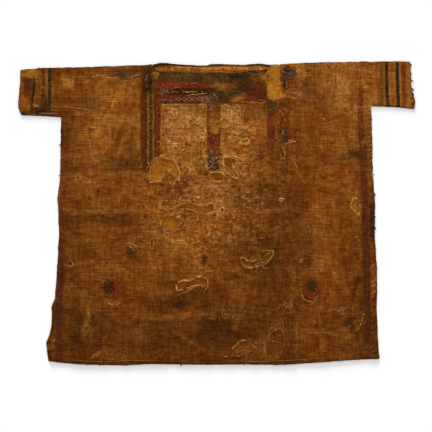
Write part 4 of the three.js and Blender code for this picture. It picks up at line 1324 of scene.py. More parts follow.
# Woven bands across the sleeves: a dye, and y, middle x, half width and strength down each.
SLEEVE_BANDS = [
    ("wine", [(79, 27.8, 4.2, 0.75), (88, 27.8, 4.2, 0.85), (96, 27.2, 3.4, 0.55)]),
    ("umber", [(79, 27.8, 3.6, 0.35), (90, 27.8, 3.6, 0.30), (96, 27.2, 3.0, 0.15)]),
    ("soot", [
        (77, 33.6, 1.1, 0.70), (82, 34.0, 1.4, 0.95), (92, 33.6, 1.4, 0.95),
        (100, 31.9, 1.1, 0.85), (112, 31.2, 1.1, 0.9),
    ]),
    ("gold", [(90, 35.8, 0.4, 0.10), (96, 35.4, 0.6, 0.35), (104, 34.6, 0.6, 0.30)]),
    ("russet", [(78, 39.4, 2.4, 0.60), (96, 39.2, 2.4, 0.60)]),
    ("umber", [(69, 41.8, 3.6, 0.35), (96, 42.0, 3.6, 0.35)]),
    ("soot", [
        (69, 43.4, 1.2, 0.70), (80, 43.6, 1.3, 0.62), (93, 43.8, 1.4, 0.60),
        (98, 44.2, 3.0, 0.35), (110, 44.2, 3.2, 0.40),
    ]),
    ("gold", [(76, 46.6, 1.0, 0.40), (95, 46.6, 1.0, 0.45)]),
    ("bottle", [(68, 49.6, 1.7, 1.00), (105, 49.8, 1.7, 1.00), (111, 49.8, 1.5, 0.60)]),
    ("soot", [(68, 49.6, 1.5, 0.60), (105, 49.8, 1.5, 0.65), (111, 49.8, 1.2, 0.30)]),
    ("rose", [(78, 56.5, 2.6, 0.25), (104, 57, 2.6, 0.25)]),
    ("gold", [(78, 52.2, 0.5, 0.30), (105, 52.2, 0.5, 0.40)]),
    ("rose", [(62, 371.6, 1.2, 0.30), (96, 372.0, 1.3, 0.35)]),
    ("rose", [(62, 377.4, 1.0, 0.35), (98, 377.8, 1.1, 0.45)]),
    ("bottle", [(62, 381.4, 1.0, 0.45), (107, 382.8, 1.0, 0.35)]),
    ("leaf", [(62, 381.4, 1.6, 1.00), (90, 381.6, 1.6, 1.00), (107, 382.8, 1.6, 0.80)]),
    ("gold", [(62, 384.2, 0.6, 0.45), (107, 385.2, 0.6, 0.45)]),
    ("bottle", [(62, 386.5, 1.5, 1.00), (90, 386.8, 1.5, 1.00), (108, 388.2, 1.5, 0.95)]),
    ("gold", [(62, 389.3, 0.7, 0.50), (107, 390.4, 0.7, 0.50)]),
    ("gold", [(62, 394.8, 0.7, 0.45), (107, 396.0, 0.7, 0.45)]),
    ("bottle", [(62, 397.2, 1.4, 1.00), (90, 397.6, 1.4, 1.00), (109, 398.7, 1.4, 1.00)]),
    ("soot", [(62, 386.6, 1.5, 0.80), (90, 386.9, 1.5, 0.85), (108, 388.2, 1.5, 0.80)]),
    ("soot", [(62, 397.3, 1.5, 0.85), (90, 397.7, 1.5, 0.90), (109, 398.7, 1.5, 0.90)]),
    ("straw", [(62, 399.8, 0.5, 0.25), (109, 401.0, 0.5, 0.25)]),
    ("madder", [(62, 403.4, 1.4, 0.60), (84, 403.6, 1.7, 0.65), (109, 404.2, 1.4, 0.35)]),
    ("umber", [(84, 403.4, 1.6, 0.00), (90, 403.4, 1.6, 0.60), (94, 403.4, 1.6, 0.00)]),
    ("gold", [(62, 408.4, 2.6, 0.45), (109, 409.6, 2.9, 0.45)]),
]
RINGS_X, RINGS_APART = 39.4, 5.4  # the left sleeve's chain of rings: its middle and their spacing
DOTS_X, DOTS_APART = 43.6, 3.1  # the same of its row of dots
SLEEVE_TONES = [
    *TONES,
    ("umber", [(56, 92, 6, 20, 0.1)]),
    ("gold", [(398, 84, 22, 24, 0.2), (374, 84, 6, 20, 0.3)]),
    ("umber", [(45, 112, 24, 2.0, 0.5, 2)]),
]
SLEEVE_STAINS = [
    ("ochre", [(29, 74.2, 10, 3.6, 0.8, -3)]),
    ("umber", [(30, 78.2, 9, 0.8, 0.55, -3)]),
    ("honey", [(36, 73.4, 4, 3.0, 0.6)]),
    ("gold", [(28, 109, 4, 2.6, 0.4)]),
    ("soot", [(22, 113.4, 3, 2.2, 0.8)]),
    ("gold", [(21.4, 100, 2.4, 7, 0.45, 8)]),
    ("rose", [(21.2, 101, 2.2, 6, 0.5, 8)]),
    ("umber", [(40, 104, 9, 7, 0.4)]),
    ("honey", [(27, 108, 3, 4, 0.35)]),
    ("straw", [(36, 105.4, 3.4, 1.1, 0.45)]),
    ("soot", [(36.5, 108.2, 4.5, 0.8, 0.7)]),
    ("slate", [(44, 103, 4, 6, 0.35)]),
    ("soot", [(40, 111.4, 19, 1.2, 0.95, -1)]),
    ("umber", [(59, 76, 3, 5, 0.4), (56, 83, 5, 3, 0.3)]),
    ("gold", [(372, 103, 5, 4, 0.3, 30)]),
]


def paint_sleeve(px, py, cloth):
    """Brown wool with woven bands, a chain of small rings and a row of dots."""
    worn = np.clip(0.95 + 0.35 * rough(px, py, (2, 4), 605), 0, 1.1)
    rings = stripe(np.hypot(px - RINGS_X, (py + 1.5) % RINGS_APART - RINGS_APART / 2), 1.1, 2.2, 0.5)
    dots = np.exp(-(((px - DOTS_X) / 0.8) ** 2)) * (np.cos(py * 2 * math.pi / DOTS_APART) > 0.2)
    rim = np.exp(-((cloth.edge / PIXEL / 0.8) ** 2))
    return layered(
        stained(ground(px, py, SLEEVE_TONES, 101), px, py, SLEEVE_STAINS, 601),
        *[(dye, band(px, py, rows) * worn) for dye, rows in SLEEVE_BANDS],
        ("gold", 0.55 * (rings * stripe(py, 78, 97))),
        ("gold", 0.55 * (dots * stripe(py, 70, 95))),
        ("soot", 0.6 * rim * ~near_seam(px, py)),
    )


def sleeve_relief(px, py):
    """Soft puckers, in metres."""
    return (0.5 * rough(px, py, 12, 611) + 0.35 * noise(px, py, (7, 2.5), 613)) * MM


# Each layer of a sleeve: its CAD node, the pieces it rests on, and its flat width and length in metres.
SLEEVES = [
    ("sleeve_left_front", ["sleeve_left_lower"], (0.162, 0.190)),
    ("sleeve_right_front", ["sleeve_right_lower"], (0.165, 0.183)),
    ("sleeve_left_back", [], (0.162, 0.181)),
    ("sleeve_right_back", [], (0.164, 0.175)),
]
UPPER_SPACING, LOWER_SPACING = 3.4 * MM, 8 * MM
sleeve_tops = []
for number, (node, under, flat) in enumerate(SLEEVES):
    lies_over = bool(under)
    sleeve = Cloth(
        node,
        UPPER_SPACING if lies_over else LOWER_SPACING,
        ragged=(0.9 if "right" in node else 0.5, 0),
        extra=sleeve_relief if lies_over else None,
        seed=70 + number,
    )
    name = node.replace("_front", "_upper").replace("_back", "_lower")
    made = sleeve.piece(name, paint_sleeve, "wool", "wool", flat, under)
    if lies_over:
        tops.append(made)
        sleeve_tops.append(sleeve)


def paint_binding(px, py, cloth):
    """Dark where it is rolled over, and warm brown between."""
    golden = step(noise(px, py, (5, 1.5), 623), -0.2, 0.6)
    rolled = stripe(px, 148, 174, 3) + stripe(px, 207, 225, 3) + stripe(px, 247, 272, 3)
    thin = 1 - step(py, 64.4, 66.0)
    dark = np.clip(rolled + 0.8 * thin, 0, 1) * np.clip(0.7 + 0.5 * noise(px, py, 3, 621), 0, 1)
    return layered("brown", ("gold", 0.6 * golden), ("soot", 0.9 * dark))


binding = Cloth("neck_binding", 3 * MM, ragged=(1.0, 0), seed=81)
tops.append(
    binding.piece(
        "neck_binding_cloth", paint_binding, "tapestry", "dark_wool", (0.441, 0.016), ["back_panel"]
    )
)

# ---- Loose yarns, lips and stitches --------------------------------------------------------------


def curve(points, gap=0.7):
    """Points about gap apart on a smooth curve through the given ones."""
    points = np.array(points, float)
    first, last = 2 * points[:1] - points[1:2], 2 * points[-1:] - points[-2:-1]
    ring = np.concatenate([first, points, last])
    parts = []
    for a, b, c, d in zip(ring, ring[1:], ring[2:], ring[3:]):
        count = max(1, math.ceil(np.linalg.norm(c - b) / gap))
        t = np.arange(count)[:, None] / count
        bend = (2 * a - 5 * b + 4 * c - d) * t**2 + (3 * b - a - 3 * c + d) * t**3
        parts.append(0.5 * (2 * b + (c - a) * t + bend))
    return np.concatenate([*parts, points[-1:]])


EDGE_LEAST = 0.5 * MM  # how high a yarn lies on the floor beside the tunic
HEADINGS = [0, math.pi / 2]  # along the wefts and along the warps


class Yarns:
    """Yarns that lie on the cloth, gathered into one mesh."""

    SIDES = 5
    LOWEST = 3.4 * MM  # how high a yarn lies where it crosses a hole

    def __init__(self, heights, seed):
        self.heights = heights
        self.draw = np.random.default_rng(seed)
        self.corners, self.faces, self.colours = [], [], []
        self.count = 0

    def near(self, x, y, half_x, half_y):
        """A pixel of the box round a place."""
        return np.array([x + half_x * self.draw.uniform(-1, 1), y + half_y * self.draw.uniform(-1, 1)])

    def one_of(self, dyes):
        return dyes[int(self.draw.integers(len(dyes)))]

    def add(self, points, radius, dye, lift=0.5, wobble=0.3, least=None):
        """A yarn along pixels, with its radius in mm and its ends thinner.

        lift is how far its middle lies over the cloth, in radii, and wobble how far it strays, in pixels."""
        count = len(points)
        if count < 3:
            return
        px, py = points.T
        seed = int(self.draw.integers(1, 10**6))
        points = points + wobble * np.c_[noise(px, py, 2.3, seed), noise(px, py, 2.3, seed + 1)]
        path = np.c_[metres(*points.T)]
        end = np.minimum(np.arange(count), np.arange(count)[::-1]) / max(1, count / 4)
        radii = radius * MM * np.clip(0.25 + end, 0, 1) * (1 + 0.35 * noise(px, py, 1.9, seed + 2))
        cloth = self.heights(path)
        if least is None and cloth.min() == 0:
            return
        high = np.maximum(cloth, self.LOWEST if least is None else least)
        high = np.convolve(np.r_[high[0], high, high[-1]], [0.25, 0.5, 0.25], "valid") + lift * radii
        along = np.gradient(path, axis=0)
        along = along / np.maximum(np.linalg.norm(along, axis=1, keepdims=True), MERGE)
        side = np.c_[-along[:, 1], along[:, 0]]
        angles = np.arange(self.SIDES) * 2 * math.pi / self.SIDES
        flat = path[:, None] + side[:, None] * (np.cos(angles) * radii[:, None])[:, :, None]
        up = np.maximum(high[:, None] + np.sin(angles) * radii[:, None], 0.1 * MM)
        self.corners.append(np.concatenate([flat, up[:, :, None]], 2).reshape(-1, 3))
        here = np.arange(count - 1)[:, None] * self.SIDES + np.arange(self.SIDES) + self.count
        beside = np.roll(here, -1, 1)
        over_here, over_beside = here + self.SIDES, beside + self.SIDES
        for corners in ((here, beside, over_beside), (here, over_beside, over_here)):
            self.faces.append(np.stack(corners, 2).reshape(-1, 3))
        for ring, order in ((self.count, -1), (self.count + (count - 1) * self.SIDES, 1)):
            fan = [(ring, ring + k, ring + k + 1)[::order] for k in range(1, self.SIDES - 1)]
            self.faces.append(np.array(fan))
        base = DYES[dye] if isinstance(dye, str) else dye
        tone = 1 + 0.28 * noise(px, py, 2.6, seed + 3) + self.draw.uniform(-0.12, 0.12)
        self.colours.append(np.repeat(base * tone[:, None], self.SIDES, 0))
        self.count += count * self.SIDES

    def piece(self, name, slot):
        corners, faces = np.concatenate(self.corners), np.concatenate(self.faces)
        made = mesh_object(name, corners, faces, np.clip(np.concatenate(self.colours), 0, 1), "yarn")
        return made


def blend_of(first, second, share):
    return DYES[first] * (1 - share) + DYES[second] * share


top_height = height_over(*tops)

# Crumpled lips and loops that stand pale on the cloth: half width in mm, and the pixels each passes.
LIPS = [
    (1.5, [(170.5, 111), (173.5, 109.6), (176.6, 111.4), (177.4, 115), (175.6, 118.4), (173, 115.5)]),
    (1.2, [(175.5, 118.4), (178.5, 121.5), (181.5, 125.2)]),
    (1.4, [(176.8, 127.8), (180.6, 125.4), (184.4, 128.2)]),
    (1.2, [(188.2, 114.2), (191.4, 116.4), (195.6, 113.4)]),
    (1.1, [(189.8, 120.6), (193, 117.4), (196.4, 118.8)]),
    (1.0, [(196.2, 122), (197.8, 120.6), (199.6, 122), (198.2, 123.8), (196.2, 122.6)]),
    (1.1, [(188.5, 134.6), (194, 135), (200, 133.8), (206, 133.4)]),
    (0.9, [(199.6, 131.8), (202, 130.6), (205, 130.8)]),
    (1.1, [(193, 136.4), (196.2, 139), (195.6, 145)]),
    (1.1, [(191.6, 147.6), (194.4, 146.4), (197.4, 148)]),
    (1.3, [(172.4, 149.2), (174.4, 151.2), (177.4, 150.8), (178.8, 148.4), (176, 146.4), (173, 147)]),
    (1.7, [(159.6, 155.6), (166, 157.2), (172.4, 158.2), (175.4, 160.6), (176.4, 164), (179.4, 169)]),
    (1.6, [(179.4, 169), (180, 173.4), (178, 178.4), (174.6, 181.6), (173.2, 187)]),
    (1.4, [(147.8, 162.4), (150.6, 168), (150.2, 174), (149.6, 181.6), (154, 182.2), (160.6, 181)]),
    (1.5, [(161, 181), (161.6, 174), (163.4, 169.6), (166.6, 168.6), (170.6, 172), (175.4, 177.4)]),
    (1.1, [(186.6, 161.6), (189, 164.4), (187, 168), (190, 171), (188.4, 174.6)]),
    (1.0, [(182, 167), (184.4, 170.4), (183, 174.8)]),
    (2.0, [(224.4, 104), (229, 106.6), (234, 107.4), (235.4, 112.4), (231.6, 117.6), (227.4, 119.6)]),
    (1.8, [(227.4, 119.6), (230.6, 122.6), (229, 126.4), (222.4, 128)]),
    (1.2, [(237, 104.4), (240, 108), (238.4, 113)]),
    (1.1, [(230.6, 132.4), (233, 131.4), (235.4, 133)]),
    (1.1, [(230.4, 137.4), (232.6, 136.4), (234.8, 138)]),
    (1.1, [(230.8, 142.2), (233, 141), (235, 142)]),
    (1.4, [(241.8, 140.4), (245, 138.8), (249, 138.8), (249.2, 142.6), (246, 144.8), (242.4, 143)]),
    (1.7, [(224.2, 157.8), (230, 156.4), (236.4, 157.2), (240, 159), (243.4, 161.2)]),
    (1.4, [(235.8, 162.6), (240, 163.4), (245.2, 162.4)]),
    (1.6, [(223.2, 159.4), (223.6, 165), (225, 170.4), (229.4, 174.4), (234, 177.6), (239.8, 178.8)]),
    (1.4, [(232.4, 162.4), (233.2, 166.4), (235, 171), (238.8, 176.6)]),
    (1.3, [(209.6, 172.8), (216, 172), (223.2, 173.4), (223.4, 178)]),
    (1.3, [(209.8, 174), (211.6, 179), (217, 181.6), (223, 180.4)]),
    (1.2, [(217, 160), (222, 163), (226, 168)]),
    (1.2, [(287.2, 140), (291, 140.8), (296, 141.8)]),
    (1.2, [(151, 74.6), (153, 72.8), (158, 73.4), (158.4, 75.6), (155.4, 77.4)]),
    (0.8, [(240.6, 101.8), (250, 102), (258, 102.6), (266, 102.2)]),
    (0.9, [(162, 104.6), (176, 104.4), (190, 104.8), (206, 104.4)]),
    (1.6, [(157.6, 211), (161.6, 208.4), (167, 209.8), (173, 208.6), (176.8, 205.8)]),
    (1.7, [(176.8, 205.8), (181.6, 201.2), (186, 200.2), (190.4, 202), (195, 204.4), (201, 204.6)]),
    (1.6, [(201, 204.6), (207, 203), (212.4, 203.6), (215, 207), (214.4, 212), (210, 214.8)]),
    (1.3, [(158.6, 212.2), (164, 214), (169, 215.8), (175, 213.6), (181, 212), (186, 211.6)]),
    (1.3, [(219.2, 202.4), (223, 202.2), (224.8, 206), (224.4, 211.4), (220, 213)]),
    (1.1, [(151.6, 220.2), (149.6, 223.4), (145.8, 226), (146.6, 229)]),
    (1.5, [(160.8, 226.2), (162, 230), (166, 232.4), (171.4, 232.4), (176, 230.4), (183, 228)]),
    (1.2, [(183, 228), (184.8, 223), (183, 219.6), (179.2, 217.8)]),
    (1.2, [(188, 223.6), (190.4, 220.6), (194, 221), (195.2, 224.4), (192.4, 227.6), (188.8, 226.4)]),
    (0.9, [(212.2, 233.4), (216, 231.4), (220.4, 233.4), (220.2, 237.6), (214, 238.2), (212, 236)]),
    (1.1, [(190.2, 239.6), (196, 241.8), (201, 242.2), (202.6, 248.4)]),
    (1.0, [(204.6, 240.6), (208.6, 239.8), (212, 240.6)]),
    (0.9, [(226, 240.4), (229.4, 241.8), (232.4, 240.4)]),
    (1.4, [(128.4, 242), (132, 244), (135.8, 245.8), (137.2, 249.6)]),
    (1.1, [(129.6, 247), (132, 249.2), (134.8, 250.6)]),
    (1.0, [(69, 261.4), (71.4, 260.4), (72.8, 264), (70.6, 268.4), (68.6, 265)]),
    (1.1, [(146.4, 265.2), (149.4, 266.4), (151.6, 269)]),
    (1.6, [(177, 295.6), (180.6, 293.6), (184.6, 292.6), (190.4, 289.6), (198.8, 285.6)]),
    (1.4, [(179.2, 286), (184, 284), (189, 284.6), (197.6, 279.8), (206.2, 277.2)]),
    (1.2, [(207.4, 277.2), (208.6, 282), (207, 287.4), (203.8, 293)]),
    (1.0, [(200, 281.6), (203.6, 283.4), (205, 287)]),
    (1.0, [(206, 269), (208, 267.4), (210, 269.4), (208.4, 272), (206.2, 271)]),
    (1.1, [(199, 268), (200.2, 272), (203, 275)]),
    (1.2, [(108, 302.8), (111.4, 304.8), (115.6, 305), (119.6, 303), (122.6, 300.2)]),
    (1.0, [(84.6, 324.4), (87.6, 326.6), (88.6, 329.6), (86.2, 333.2)]),
    (1.0, [(209.6, 316.4), (211.6, 314.6), (214.4, 316), (213.4, 319), (210.4, 318.4)]),
    (0.9, [(226.4, 315.4), (229, 314.6), (230.6, 316.8)]),
    (1.0, [(234.8, 314.6), (236, 317.4), (236.6, 320.4)]),
    (1.1, [(89.6, 358.6), (95, 356.8), (100.8, 353.4)]),
    (1.0, [(223.8, 357.2), (229, 356)]),
    (1.5, [(241.4, 261.4), (242.4, 265.2), (246.4, 267.6), (250.6, 267.4), (254.8, 265), (260.4, 261.8)]),
    (1.5, [(260.4, 261.8), (265.4, 263), (269.6, 259.6), (272.8, 252.4), (268.4, 250.4), (261.6, 252)]),
    (1.2, [(244.8, 261.4), (249, 262.4), (253.4, 261.4), (259.6, 257.8), (261.4, 254.4)]),
    (1.2, [(263, 266.6), (265.4, 268.8), (268.4, 267.4)]),
    (1.2, [(241.2, 259.4), (243.4, 257.6), (246.6, 259)]),
    (1.1, [(228, 265.4), (229.4, 263.6), (231.4, 265), (230, 267.2), (228.2, 266.6)]),
    (1.0, [(260.4, 229.4), (262, 228), (263.6, 229.4)]),
    (0.9, [(259.2, 237), (262.4, 238.2), (265.6, 237.8)]),
    (1.2, [(278.6, 199.8), (280.2, 198.6), (282, 200.2)]),
    (1.1, [(353.4, 199.4), (352.4, 205), (354.4, 211.4), (358.8, 216.8)]),
    (0.9, [(356, 237), (358.4, 240.2), (360.4, 241)]),
    (1.3, [(301.6, 295), (304.6, 299.6), (309, 301.6), (313.6, 301), (320.2, 293)]),
    (0.9, [(309, 304.8), (312.4, 303.6), (316, 299.4)]),
    (1.0, [(327, 311.2), (332, 310.2), (337, 309.8), (343.2, 313.8)]),
    (1.1, [(337.4, 311), (340, 309), (343.4, 311.4), (341.4, 314.6), (338, 313.4)]),
    (1.3, [(365.6, 313.4), (362.6, 319), (360, 325), (357.4, 330.8)]),
    (0.9, [(342.8, 327.4), (342.4, 331), (343.4, 334.6)]),
    (1.5, [(231.6, 349), (236.4, 345), (241, 341.4), (245, 340.6), (250.4, 343), (256.8, 349.8)]),
    (1.2, [(236, 353), (243, 350.6), (250, 351.6)]),
    (1.2, [(283.8, 326.8), (282.6, 329.4), (281.2, 332)]),
    (0.9, [(283, 300), (286, 302.4), (284.6, 306)]),
    (0.9, [(289, 301), (292, 304.4), (290, 309)]),
    (0.9, [(281, 309), (284.6, 311.4), (282.6, 315.4)]),
    (1.0, [(92.8, 77), (97, 75.6), (101.4, 75.4), (106, 77.4), (111, 78), (120.8, 79.6)]),
    (1.1, [(131.8, 77.4), (135, 75.4), (140.4, 74.4)]),
    (0.9, [(290, 157.6), (294.4, 162), (298.2, 170.4)]),
    (0.9, [(320.6, 118.6), (323.4, 118), (324.4, 121)]),
    (0.8, [(104, 257), (107, 259.4)]),
    (1.0, [(296, 66), (298.4, 72), (297.4, 78)]),
]


def lip_lines(yarns):
    """Each lip as short rolled pieces of yarn, and two thinner yarns beside it; low ones are fainter."""
    for half, points in LIPS:
        line = curve(points)
        px, py = line.T
        thin = 0.75 + 0.45 * noise(px, py, 2.2, 703)
        low = step(py[0], 170, 250)
        start = 0
        while start < len(line) - 3:
            stop = start + int(yarns.draw.integers(5, 14))
            dye = blend_of("gold", "straw", (1 - 0.45 * low) * yarns.draw.uniform(0.35, 1.0))
            radius = (1.08 - 0.2 * low) * half * thin[start]
            yarns.add(line[start:stop], radius, dye * (1 - 0.1 * low), lift=0.7, wobble=0.4)
            start = stop - 1 + int(yarns.draw.integers(0, 2))
        for _ in range(2):
            beside = line + yarns.draw.uniform(-0.5, 0.5, 2)
            start = int(yarns.draw.integers(0, max(1, len(line) // 3)))
            share = yarns.draw.uniform(0, 0.7) * (1 - low)
            dye = blend_of("gold", "straw", share) * (1 - 0.2 * low)
            yarns.add(beside[start:], 0.45 * half, dye, lift=0.6, wobble=0.75)


PLAIN_BELOW = 310  # below this y few of the losses have a rolled edge
PLAIN_SHARE = 0.75  # and this share of their edges has none
ROLLS = ((0.3, 2.4), (1.6, 3.2), (2.6, 2.0))  # how far in mm from a hole each roll lies, and its parts' size


def hole_lips(yarns, holes):
    """Broken, rolled edges along the holes."""
    for hole in holes:
        for away, size in ROLLS:
            px, py = pixels(hole + outward(hole) * away * MM)
            px, py = np.r_[px, px[:4]], np.r_[py, py[:4]]
            shown = noise(px, py, size, int(1000 * size)) > -0.05 + 0.12 * away
            for part in runs(np.c_[px, py], shown):
                share = yarns.draw.uniform(0, 0.85) * pale_edge(*part[0])
                radius = yarns.draw.uniform(0.5, 1.25)
                if part[0, 1] > PLAIN_BELOW and yarns.draw.uniform() < PLAIN_SHARE:
                    continue
                yarns.add(part, radius, blend_of("gold", "straw", share), 0.5, 0.45)


def runs(points, shown):
    """The stretches of more than three points that are shown."""
    parts, start = [], None
    for index, is_shown in enumerate([*shown, False]):
        if is_shown and start is None:
            start = index
        elif not is_shown and start is not None:
            parts.append(points[start:index])
            start = None
    return [part for part in parts if len(part) > 3]


BIT_STEP = 0.6  # pixels between the points of a short yarn


def short_yarn(yarns, at, heading, length, radius, dye, bend=0.45, least=None):
    """A yarn of a few pixels that starts at a pixel and wanders."""
    points = [np.array(at, float)]
    for _ in range(max(2, round(length / BIT_STEP))):
        heading += yarns.draw.normal(0, bend)
        points.append(points[-1] + BIT_STEP * np.array([math.cos(heading), math.sin(heading)]))
    yarns.add(np.array(points), radius, dye, 0.6, 0.15, least)


def fuzz(yarns, count):
    """Slubs and broken yarns over the worn middle, and dark bits of yarn between them that stand for pits:
    painted shade.
    """
    x, y, half_x, half_y = WORN_MIDDLE
    for _ in range(count):
        at = np.array([yarns.draw.normal(x, half_x * 0.6), yarns.draw.normal(y, half_y * 0.6)])
        chance = wear(at[:1], at[1:])[0]
        if yarns.draw.uniform() > chance * 1.6:
            continue
        heading = yarns.draw.choice(HEADINGS, p=[0.6, 0.4]) + yarns.draw.normal(0, 0.5)
        # Dark short yarns that stand for pits: painted shade between the pale ones.
        if yarns.draw.uniform() < 0.25:
            dye, length = blend_of("umber", "russet", yarns.draw.uniform()), yarns.draw.uniform(1, 2.4)
        else:
            dye, length = blend_of("gold", "straw", yarns.draw.uniform() ** 3.2), yarns.draw.uniform(1, 4)
        short_yarn(yarns, at, heading, length, yarns.draw.uniform(0.35, 0.9), dye)


def slubs(yarns, count):
    """Thick places of single yarns, light and dark, all over the front."""
    for _ in range(count):
        at = (yarns.draw.uniform(64, 370), yarns.draw.uniform(70, 360))
        heading = yarns.draw.choice(HEADINGS, p=[0.7, 0.3])
        is_light = yarns.draw.uniform() < 0.55
        dye = blend_of("brown", "gold", yarns.draw.uniform(0.2, 1)) if is_light else "umber"
        short_yarn(yarns, at, heading, yarns.draw.uniform(1, 2.6), yarns.draw.uniform(0.3, 0.7), dye, 0.12)


def fringe(yarns, count, heading, dyes, line):
    """Torn ends that hang over a loss from the edge along the line."""
    path = curve(line)
    for _ in range(count):
        at = path[int(yarns.draw.integers(len(path)))] + yarns.draw.normal(0, 0.5, 2)
        dye = yarns.one_of(dyes)
        way = heading + yarns.draw.normal(0, 0.5)
        short_yarn(yarns, at, way, yarns.draw.uniform(1, 3), yarns.draw.uniform(0.5, 1.0), dye, 0.25)


def specks(yarns, x, y, half_x, half_y, count, dyes):
    """Bits of yarn in the box round a pixel."""
    for _ in range(count):
        at = yarns.near(x, y, half_x, half_y)
        dye = yarns.one_of(dyes)
        way = yarns.draw.choice(HEADINGS, p=[0.7, 0.3])
        short_yarn(yarns, at, way, yarns.draw.uniform(0.8, 2.2), yarns.draw.uniform(0.25, 0.6), dye, 0.2)


# Pale threads left in the tapestry, and seams and folds drawn by one thread: half width, dye, pixels.
THREADS = [
    (0.8, "blush", [(161, 89.4), (163, 91.8), (165, 94.2)]),
    (0.8, "blush", [(163.4, 88.6), (165.4, 91), (167.6, 93.4)]),
    (0.7, "blush", [(166, 89.6), (167.8, 91.6), (169.4, 94)]),
    (0.7, "blush", [(160.4, 93), (161.8, 94), (163.4, 94.6)]),
    (0.6, "blush", [(170, 92.6), (174, 91.8), (178, 92.8)]),
    (0.8, "straw", [(184, 91.4), (186.6, 92.4), (191, 91.6), (197.4, 92.4)]),
    (0.7, "straw", [(186, 95.6), (189, 95.4), (192, 94.4), (196, 95), (200, 93.8), (207.4, 93.4)]),
    (0.6, "blush", [(174, 88.2), (177, 87.6), (180, 88.2)]),
    (0.6, "blush", [(190, 84), (194, 83.2), (198, 84.4)]),
    (0.6, "gold", [(150.6, 76), (151, 73.9), (154.6, 73), (158.8, 73.4), (159.2, 75.4)]),
    (0.6, "gold", [(215, 91), (222, 90.6), (232, 91), (241, 91.6)]),
    (0.5, "gold", [(223.6, 92.6), (227, 94.6), (230.4, 92.8)]),
    (0.5, "gold", [(240.4, 101.8), (248, 101.6), (256, 102), (262, 102.4)]),
    (0.5, "blush", [(257, 101.6), (260, 99.8), (264, 100.4), (264.6, 102.6), (260.4, 103.4), (257, 102)]),
    (0.5, "gold", [(222, 85.6), (227, 83.6), (233, 84.6), (238, 82)]),
    (0.6, "gold", [(277.4, 141), (275.2, 143), (276.6, 146), (279.6, 146.6), (280.4, 143.6)]),
    (0.6, "straw", [(282, 147), (284.4, 148.6), (283.4, 151.6), (285.4, 153.8), (284.6, 157)]),
    (0.5, "gold", [(281.8, 112.4), (283.4, 110.6), (286, 111.8), (286.4, 115), (284.4, 116.8)]),
    (0.5, "gold", [(279.8, 121.6), (281.8, 120.4), (283.4, 122.4), (282.4, 125.2), (280, 125)]),
    (0.5, "gold", [(284, 121), (286.6, 121.4), (287.2, 124.4), (285.2, 126), (283.6, 128)]),
    (0.6, "gold", [(231, 69.6), (238, 69.2), (246, 68.8), (254, 68.2), (262, 67.6)]),
    (0.5, "umber", [(160, 67), (168, 66.9), (178, 68), (190, 68.4), (204, 67.6)]),
    (0.5, "umber", [(176, 70.6), (190, 70), (206, 70.4), (222, 69.6), (236, 70.8)]),
    (0.6, "russet", [(190, 68.8), (200, 69.4), (208, 68.6)]),
    (0.8, "umber", [(228, 71.6), (240, 71), (250, 70.2), (262, 70), (270, 69.4)]),
    (1.1, "soot", [(326.4, 64.4), (329.6, 68), (332.8, 71)]),
    (0.9, "soot", [(333, 70.8), (335.4, 67.6), (336.6, 64.6)]),
    (0.6, "umber", [(334, 71), (335.6, 77), (335.2, 84)]),
    (0.6, "ash", [(286.4, 144.4), (289.4, 141.6), (293, 140.2)]),
    (0.7, "straw", [(287.6, 142.2), (291.4, 142.6), (296.2, 141.2)]),
    (0.6, "gold", [(266.6, 108), (267, 118), (266.6, 130), (267.2, 142)]),
    (0.5, "blush", [(51.8, 104.6), (51.9, 108), (51.8, 111)]),
    (0.4, "straw", [
        (48.4, 106.4), (52, 106.2), (58, 106.6), (64, 106.4), (72, 107.6), (84, 109.4), (97, 111),
    ]),
    (0.4, "straw", [(52.4, 110.2), (55, 110.4), (57.4, 109.8)]),
    (0.6, "ash", [(40.4, 113), (48, 113.3), (57, 113.4)]),
    (0.5, "gold", [(71.6, 89.4), (76, 90), (81.6, 90.6)]),
    (0.5, "gold", [(80.4, 89.4), (80.2, 96), (80.6, 103), (80.2, 110)]),
    (0.4, "gold", [(60.8, 78), (60.6, 90), (60.8, 100), (60.6, 110)]),
    (0.4, "gold", [(66, 175), (66.4, 190), (66, 204)]),
    (0.4, "straw", [(335, 107), (346, 106.8), (358, 107.2), (371, 106.8)]),
    (0.4, "gold", [(371.8, 66), (371.6, 80), (371.9, 94), (371.6, 104)]),
    (0.5, "umber", [(64, 361.4), (90, 362.2), (120, 361), (150, 361.4), (180, 362.6)]),
    (0.6, "gold", [(66, 360), (100, 361.6), (130, 360.6), (164, 361.2)]),
    (0.5, "gold", [(230, 361), (262, 361.4), (300, 359.8), (330, 358)]),
]
# Dark rolled places of the neck's edge.
NECK_ROLLS = [
    (2.8, [(150.4, 67.6), (153, 67), (156, 65.2), (159, 64), (163, 63.6), (168, 63.8), (172, 64.8)]),
    (1.6, [(170, 64.4), (178, 64.9), (188, 65.5), (200, 65.7)]),
    (1.4, [(207, 65.4), (212, 64.4), (219, 64), (226, 64.8)]),
    (1.2, [(230, 65), (235, 64.6), (240, 65.3)]),
    (1.8, [(247, 65.4), (254, 64.5), (260, 64.3), (266, 65.4), (271.4, 67.4)]),
]
